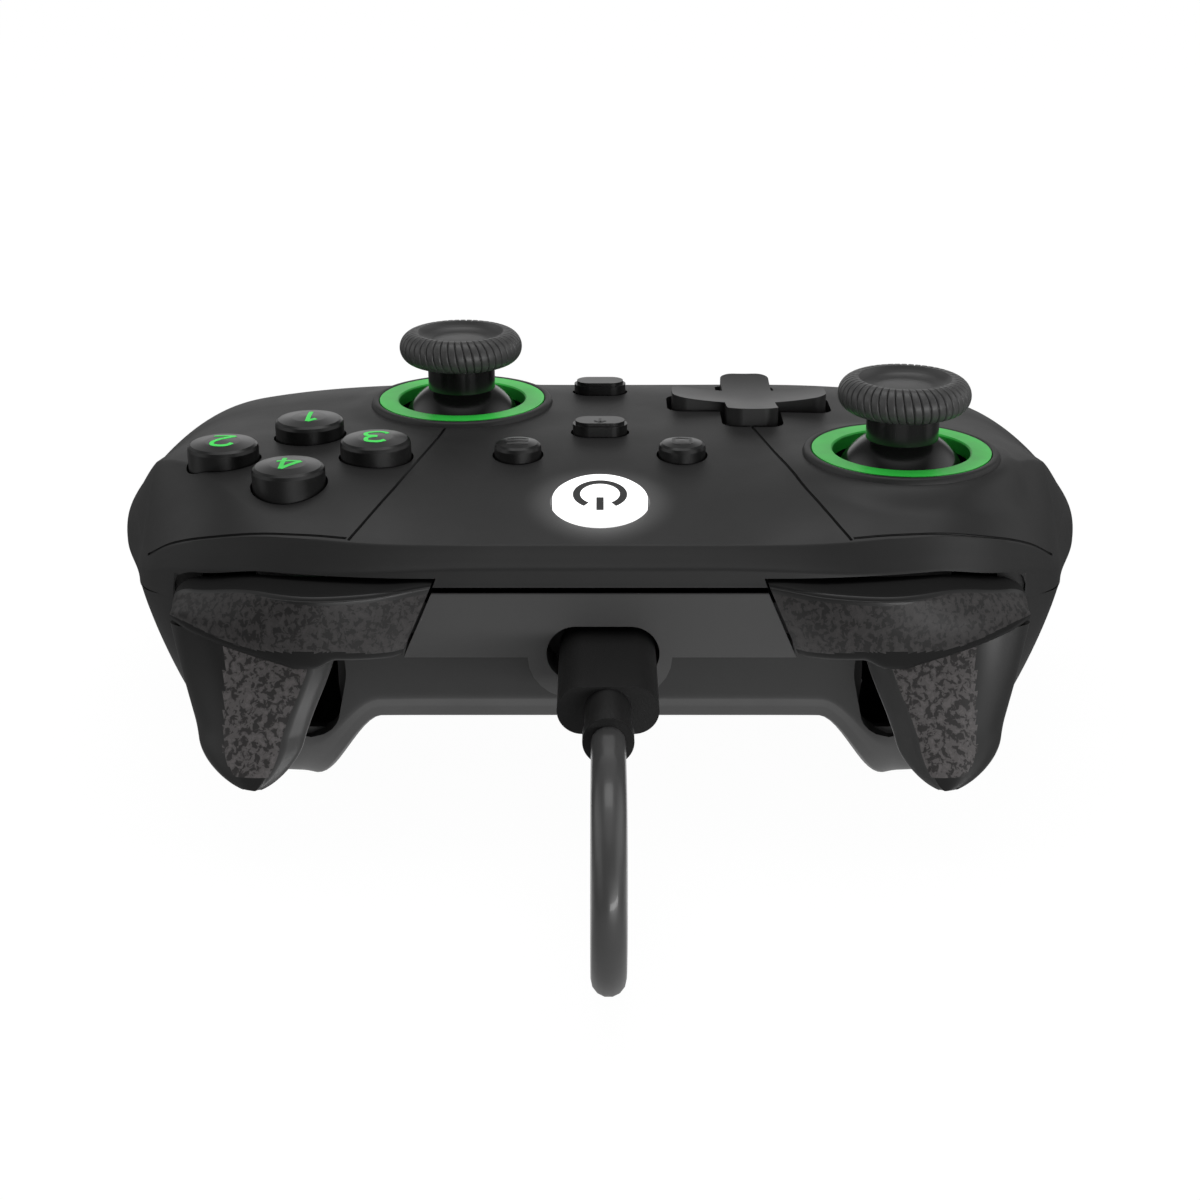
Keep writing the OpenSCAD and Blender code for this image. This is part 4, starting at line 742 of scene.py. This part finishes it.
# The walls inside the bays take the dark lip plastic as painted shade
walls = merged(*both(bay_wall(34.3, 8.4, 2)), *both(bay_wall(53.7, 10, 3.8)))
bay_walls = new_object("bay_walls", *walls, [lip_and_shade_black.material])
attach(bay_walls, "case")

# Bumpers and triggers, with the printed patches on their fronts
BUMPER_PATH = [(BUMPER_IN, -44.4), (34, -50.5), (47, -50.5), (BUMPER_OUT, -41)]


def bumper_ring(t):
    x, y = bez(BUMPER_PATH, t)
    low = float(bumper_low(x)) + 0.3 * float(ease(54, BUMPER_OUT, x))
    high = float(bumper_high(x) - bumper_corner(x)) - 0.3 * float(ease(23, 30, x))
    mid = (low + high) / 2
    thick = lerp(4, 3, float(ease(0.8, 1, t)))
    shelf = max(thick, min(thick + 4, -36 - float(y)))
    lean = 2.4 * float(ease(36, 50, x))
    shape = [(0.7, low), (0.1, low + 0.9), (0.2 * lean - 0.2, mid), (0.75 * lean, high - 1.1),
             (0.9 * lean + 0.22, high - 0.5), (lean + 0.6, high - 0.12), (lean + 1.2, high)]
    upper = max(thick, lean + 1.6)
    shelf = max(shelf, upper)
    back = [(shelf, high), (shelf, high - 1.2), (upper, high - 1.3), (thick, low)]
    skew = SLANT * (1 - t) ** 4
    return [(x + skew * (high - z) / (high - low), y + d, z) for d, z in spline(shape, 14) + back]


def print_slots(rings, printed):
    """Material slot of each face of a loft: 1 where it is printed, 2 on a dark lip and on faces darkened as
    painted shade, 3 on a roll lightened as a painted highlight, else 0.
    """
    rings = np.asarray(rings)
    out = [0, 0]
    for i in range(len(rings) - 1):
        for j in range(len(rings[0])):
            k = (j + 1) % len(rings[0])
            out.append(int(printed(j, *np.mean([rings[i, j], rings[i, k], rings[i + 1, j]], axis=0))))
    return out


def shoulder_piece(name, points, faces, slots, body, camo):
    materials = [s.material for s in (dark, camo, lip_and_shade_black, roll_painted_highlight)]
    obj = new_object(name, points, faces, materials, slots, 40)
    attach(obj, body)
    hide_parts(body)


def bumper_printed(j, x, y, z):
    foot = 27 + 1.3 * ease(26, 36, x) + 2.3 * ease(44, BUMPER_OUT, x)
    edge = bumper_high(x) - bumper_corner(x) - 0.3
    # The top face (painted shade under the shell's lip), the back and the foot under the print take the dark
    # lip plastic
    if j >= 80 or z > edge - 0.1 or z < foot:
        return 2
    return int(z < edge - lerp(1.1, 0.4, ease(36, 46, x)))


bumper_rings = [bumper_ring(t) for t in np.linspace(0, 1, 120)]
bumper_slots = print_slots(bumper_rings, bumper_printed)
arm = prism([(18.5, -42.4), (27, -42.4), (27, -39), (18.5, -39)], "z", 28.5, 32.9)
eye = revolve([(1.05, 28.5), (2.1, 28.5), (2.1, 32.9), (1.05, 32.9)], (18.5, -40.6, 0), 40)
bumper_points, bumper_faces = merged(loft(bumper_rings), arm, eye)
bumper_slots += [0] * (len(bumper_faces) - len(bumper_slots))
for side, placed in (("left", bumper_points), ("right", mirrored(bumper_points))):
    shoulder_piece(f"bumper_{side}", placed, bumper_faces, bumper_slots, f"{side}_bumper", bumper_camo)


# The trigger is slimmer on its inner side, and its top rises at the outer end under the bumper
TUCK, OUTER_RISE = 1.6, 2.2
WEB = [(-41, 25.9), (-36, 21.5), (-28.4, 26.6), (-28.6, 30), (-33, 30.6)]


def trigger_ring(z):
    c, h, f = float(trigger_mid(z)), float(trigger_half(z)), float(trigger_front(z))
    b = f + float(trigger_depth(z))
    k = min(1, h / 8)
    c += 0.8 * float(ease(17, 10, z))
    tuck = TUCK * k * float(ease(25, 15, z))
    side = c - h + tuck
    inner = [(side + 0.08 * h, b), (side, f + 2.2 * k), (side + 0.5 * k, f + 1.3 * k),
             (side + 2.4 * k, f + 0.1)]
    h += 0.5 * k
    outer = [(side + 3.1 * k, f), (c - 0.3 * h + tuck / 2, f - 0.2), (c + 0.3 * h, f),
             (c + 0.72 * h, f + 1.5 * k), (c + h, f + 3.6 * k), (c + 0.92 * h, b)]
    rise = OUTER_RISE * float(share_of(TIP_Z, TRIGGER_TOP, z)) ** 6
    return [(x, y, z + rise * float(ease(48, 54, x))) for x, y in spline(inner, 6) + spline(outer, 10)]


def trigger_printed(j, x, y, z):
    c, h = trigger_mid(z), trigger_half(z)
    edge = c - h + 2.7 * min(1, h / 8) + TUCK * ease(25, 15, z)
    if 18 < j < 60 and z > 11.4 and edge < x < min(50, c + 0.62 * h):
        return 1
    # The inner roll gets the lighter plastic as a painted highlight
    return 3 if 2 < j < 24 else 0


trigger_zs = TIP_Z + 0.1 + (TRIGGER_TOP - TIP_Z - 0.2) * np.linspace(0, 1, 80) ** 1.6
trigger_rings = [trigger_ring(z) for z in trigger_zs]
trigger_slots = print_slots(trigger_rings, trigger_printed)
webs = [prism(WEB, "x", 42.8, 53.2), prism(WEB, "x", 36.8, 38.4)]
trigger_points, trigger_faces = merged(loft(trigger_rings), *webs)
trigger_slots += [0] * (len(trigger_faces) - len(trigger_slots))
for side, placed in (("left", trigger_points), ("right", mirrored(trigger_points))):
    shoulder_piece(f"trigger_{side}", placed, trigger_faces, trigger_slots, f"{side}_trigger", trigger_camo_lit_copy)

# Stick caps: slanted ribs on a round rim, a dished top with a slightly raised middle
CAP_D, CAP_H, STICK_TOP, RIBS, RIB_STEPS = 18.6, 4.8, 56.7, 48, 14


def cap(at):
    core = CAP_D / 2 - CAP_H / 2
    turns = np.linspace(-100, 100, 45)
    dish = [(6.2, 0.5), (5.6, 1.0), (4.6, 1.3), (3.4, 1.15), (1.6, 1.0), (0.02, 0.98)]
    inside = [(p[0], p[1]) for p in spline([(r, CAP_H / 2 - d) for r, d in dish], 5)]
    under = [(0.02, 0.4 - CAP_H / 2), (5.4, 0.4 - CAP_H / 2), (6.2, 0.1 - CAP_H / 2)]
    steps = RIBS * RIB_STEPS
    rings = []
    for i in range(steps):
        a = 2 * math.pi * i / steps
        ring = list(under)
        for turn in turns:
            e = math.radians(turn)
            wave = (i / RIB_STEPS + 0.5 * turn / 90) % 1
            ridge = 1 - abs(2 * wave - 1) ** 9
            depth = 0.42 * (1 - ridge) * float(ease(105, 75, abs(turn)))
            r = CAP_H / 2 - depth
            ring.append((core + r * math.cos(e), r * math.sin(e)))
        ring += inside
        rings.append([(at[0] + r * math.cos(a), at[1] + r * math.sin(a), STICK_TOP - CAP_H / 2 + z)
                      for r, z in ring])
    n, m = len(rings), len(rings[0])
    faces = [[i * m + j, (i + 1) % n * m + j, (i + 1) % n * m + j + 1, i * m + j + 1]
             for i in range(n) for j in range(m - 1)]
    return [p for r in rings for p in r], faces


for side, at in (("left", LEFT_STICK), ("right", RIGHT_STICK)):
    obj = new_object(f"cap_{side}", *cap(at), [rubber.material], angle=50)
    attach(obj, f"{side}_stick")
    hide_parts(f"{side}_stick_cap")

# Plain numbers on the face buttons and simple signs on the small ones, laid on the surface for the player
DIGITS = {
    1: [[(0.15, 1.08), (0.5, 1.4)], [(0.5, 1.4), (0.5, 0)]],
    2: [spline([(0.05, 1.05), (0.2, 1.3), (0.5, 1.4), (0.82, 1.28), (0.9, 1.0), (0.75, 0.7), (0.05, 0)], 8),
        [(0.05, 0), (0.98, 0)]],
    3: [spline([(0.05, 1.2), (0.25, 1.37), (0.5, 1.4), (0.82, 1.28), (0.82, 0.9), (0.42, 0.74)], 8),
        spline([(0.42, 0.74), (0.86, 0.6), (0.92, 0.2), (0.5, 0), (0.2, 0.05), (0.02, 0.24)], 8)],
    4: [[(0.72, 0), (0.72, 1.4)], [(0.72, 1.4), (0, 0.45)], [(0, 0.45), (1, 0.45)]],
}


def sign(name, strokes, at, size, width, node, shader, body):
    """Thin raised strokes on a solid; stroke points run right and up as the player sees them."""
    under = nodes[node].data
    turn = nodes[node].matrix_world
    tree = BVHTree.FromPolygons([turn @ v.co for v in under.vertices],
                                [list(f.vertices) for f in under.polygons])
    parts = []
    for stroke in strokes:
        line = np.array(stroke, float)
        steps = [np.linspace(a, b, 5)[:-1] for a, b in zip(line[:-1], line[1:])]
        line = np.vstack(steps + [line[-1:]])
        line = np.array(at) - size * line
        run = np.gradient(line, axis=0)
        run /= np.linalg.norm(run, axis=1)[:, None]
        rings = []
        for (x, y), (dx, dy) in zip(line, run):
            ring = []
            for w in (-width / 2, width / 2):
                px, py = x - dy * w, y + dx * w
                hit = tree.ray_cast(Vector((px, py, 100)) * MM, Vector((0, 0, -1)))[0]
                ring.append((px, py, hit.z / MM))
            a, b = ring
            rings.append([(x, y, z + h) for (x, y, z), h in ((a, -0.1), (b, -0.1), (b, 0.05), (a, 0.05))])
        parts.append(loft(rings))
    obj = new_object(name, *merged(*parts), [shader.material])
    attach(obj, body)


node_slots = {f"face_button_{n}": "gloss_black" for n in DIGITS}
node_slots.update({f"{n}_button": "gloss_black" for n in ("menu", "view", "share", "mode")})
node_slots["home_button"] = "lens"
for n, at in zip(DIGITS, BUTTONS):
    sign(f"number_{n}", DIGITS[n], (at[0] + 1.65, at[1] + 2.3), 3.3, 0.62, f"face_button_{n}", mark_green,
         f"face_button_{n}")
bars = [[(-1, y), (1, y)] for y in (-0.8, 0, 0.8)]
corners = [(-0.8, -0.8), (0.8, -0.8), (0.8, 0.8), (-0.8, 0.8)]
square = [[p, q] for p, q in zip(corners, corners[1:] + corners[:1])]
sign("menu_sign", bars, MENU, 1.5, 0.45, "menu_button", mark_grey, "menu_button")
sign("view_sign", square, VIEW, 1.5, 0.45, "view_button", mark_grey, "view_button")
arrow = [[(0, -0.5), (0, 1)], [(-0.6, 0.4), (0, 1)], [(0.6, 0.4), (0, 1)]]
sign("share_sign", arrow, SHARE, 1.3, 0.4, "share_button", mark_grey, "share_button")
power = [(math.sin(a), math.cos(a)) for a in np.radians(np.linspace(35, 325, 40))]
sign("home_sign", [power, [(0, 0.3), (0, 1.25)]], (HOME[0], HOME[1] - 0.1), 3.2, 1.0,
     "home_button", mark_lens, "home_button")

# Materials of the solids that stay as they are
finish = {
    panel: ["front_panel"],
    post_black: ["left_stick_post", "right_stick_post"],
    gloss: ["face_button_1", "face_button_2", "face_button_3",
            "face_button_4", "menu_button", "view_button", "share_button", "mode_button", "headset_socket"],
    ring_green: ["left_stick_ring", "right_stick_ring"],
    lens: ["home_button"],
    pad_black: ["direction_pad"],
    dark: ["left_stick_module", "right_stick_module", "cable_tie"],
    plug_black: ["cable_plug", "strain_relief", "far_plug"],
    grey_rubber: ["push_switches", "left_stick_yoke", "right_stick_yoke", "face_button_domes",
                  "direction_pad_post"],
    board: ["main_board", "button_board"],
    steel: ["case_screws", "cable_socket", "left_stick_shaft", "right_stick_shaft", "direction_pad_ball",
            "bumper_pins", "trigger_pins", "left_trigger_spring", "right_trigger_spring"],
}
for shader, names in finish.items():
    for name in names:
        for place in nodes[name].material_slots:
            place.material = shader.material

softer_edges = {"direction_pad": 0.75, "front_panel": 0.3, "cable_plug": 0.5, "far_plug": 0.5}
softer_edges.update({f"{n}_button": 0.25 for n in ("share", "mode", "menu", "view")})
for name, width in softer_edges.items():
    edge = nodes[name].modifiers.new("edges", "BEVEL")
    edge.width = width * MM
    edge.segments = 4
    edge.limit_method = "ANGLE"
    edge.angle_limit = math.radians(40)
    edge.harden_normals = True

# Floor, backdrop and light
floor_shader = Shader("floor_white", 0.7)
floor_shader.colour(floor_shader.noise(3, 2), (0.80, 0.80, 0.80), (0.82, 0.82, 0.82))
FLOOR_HALF, FLOOR_Z = 4000, -0.3
floor_corners = [(x * FLOOR_HALF, y * FLOOR_HALF, FLOOR_Z) for x, y in ((-1, -1), (1, -1), (1, 1), (-1, 1))]
floor = new_object("floor", floor_corners, [(0, 1, 2, 3)], [floor_shader.material])
glow = floor_shader.add("ShaderNodeEmission")
mix = floor_shader.add("ShaderNodeMixShader")
path = floor_shader.add("ShaderNodeLightPath")


def greys(axis, low, high, stops):
    """A brightness of the floor that changes along an axis."""
    return floor_shader.ramp(floor_shader.past(axis, low, high), [(at, (g, g, g)) for at, g in stops])


# In reflections the floor is brightest right under the front edge, and dim behind the object and at its sides
to_back = [(0, 0.4), (0.43, 0.4), (0.47, 1.4), (0.5, 1.4), (0.56, 1.1), (0.66, 0.3), (1, 0.2)]
across = [(0, 0.3), (0.22, 0.3), (0.36, 1), (0.64, 1), (0.78, 0.3), (1, 0.3)]
under_front = floor_shader.add("ShaderNodeMath", operation="MULTIPLY")
floor_shader.link(greys("Y", -300, 200, to_back), under_front.inputs[0])
floor_shader.link(greys("X", -150, 150, across), under_front.inputs[1])
strength = floor_shader.spread(path.outputs["Is Camera Ray"], 0, 1.05)
floor_shader.link(under_front.outputs["Value"], strength.node.inputs["To Min"])
floor_shader.link(strength, glow.inputs["Strength"])
seen = floor_shader.add("ShaderNodeMath", operation="MAXIMUM")
floor_shader.link(path.outputs["Is Camera Ray"], seen.inputs[0])
floor_shader.link(path.outputs["Is Glossy Ray"], seen.inputs[1])
keep = floor_shader.add("ShaderNodeMath", operation="MULTIPLY")
keep.inputs[1].default_value = 0.93
floor_shader.link(seen.outputs["Value"], keep.inputs[0])
floor_shader.link(keep.outputs["Value"], mix.inputs["Fac"])
floor_shader.link(floor_shader.base.outputs["BSDF"], mix.inputs[1])
floor_shader.link(glow.outputs["Emission"], mix.inputs[2])
floor_shader.link(mix.outputs["Shader"], floor_shader.tree.nodes["Material Output"].inputs["Surface"])

# The room is brighter high at its two sides, overhead and low behind than in front
world = bpy.data.worlds.new("studio")
world.use_nodes = True
scene.world = world
sky = world.node_tree
to = sky.nodes.new("ShaderNodeTexCoord")
axes = sky.nodes.new("ShaderNodeSeparateXYZ")
sky.links.new(to.outputs["Generated"], axes.inputs["Vector"])
aside = sky.nodes.new("ShaderNodeMath")
aside.operation = "ABSOLUTE"
sky.links.new(axes.outputs["X"], aside.inputs[0])


def brighter(output, start, end, low, high):
    node = sky.nodes.new("ShaderNodeMapRange")
    node.interpolation_type = "SMOOTHSTEP"
    for socket, value in (("From Min", start), ("From Max", end), ("To Min", low), ("To Max", high)):
        node.inputs[socket].default_value = value
    sky.links.new(output, node.inputs["Value"])
    return node.outputs["Result"]


def joined(operation, a, b):
    node = sky.nodes.new("ShaderNodeMath")
    node.operation = operation
    sky.links.new(a, node.inputs[0])
    sky.links.new(b, node.inputs[1])
    return node.outputs["Value"]


from_sides = brighter(aside.outputs["Value"], 0.55, 0.9, 0, 0.9)
sides = joined("MULTIPLY", from_sides, brighter(axes.outputs["Z"], 0, 0.4, 0.15, 1))
total = joined("ADD", sides, brighter(axes.outputs["Z"], 0.8, 1.0, 0.15, 0.65))
total = joined("ADD", total, brighter(axes.outputs["Y"], 0.8, 0.98, 0, 0.8))
back = sky.nodes["Background"]
back.inputs["Color"].default_value = (1, 1, 1, 1)
sky.links.new(total, back.inputs["Strength"])


def lamp(name, place, target, size, watts):
    data = bpy.data.lights.new(name, "AREA")
    data.shape = "RECTANGLE"
    data.size, data.size_y = size
    data.energy = watts
    obj = bpy.data.objects.new(name, data)
    obj.location = place
    obj.rotation_euler = (Vector(target) - Vector(place)).to_track_quat("-Z", "Y").to_euler()
    scene.collection.objects.link(obj)


lamp("top", (0, 0.2, 0.8), (0, 0, 0.03), (0.6, 0.4), 1.4)
lamp("front", (0.5, -0.9, 0.06), (0, 0, 0.02), (0.9, 0.15), 5)
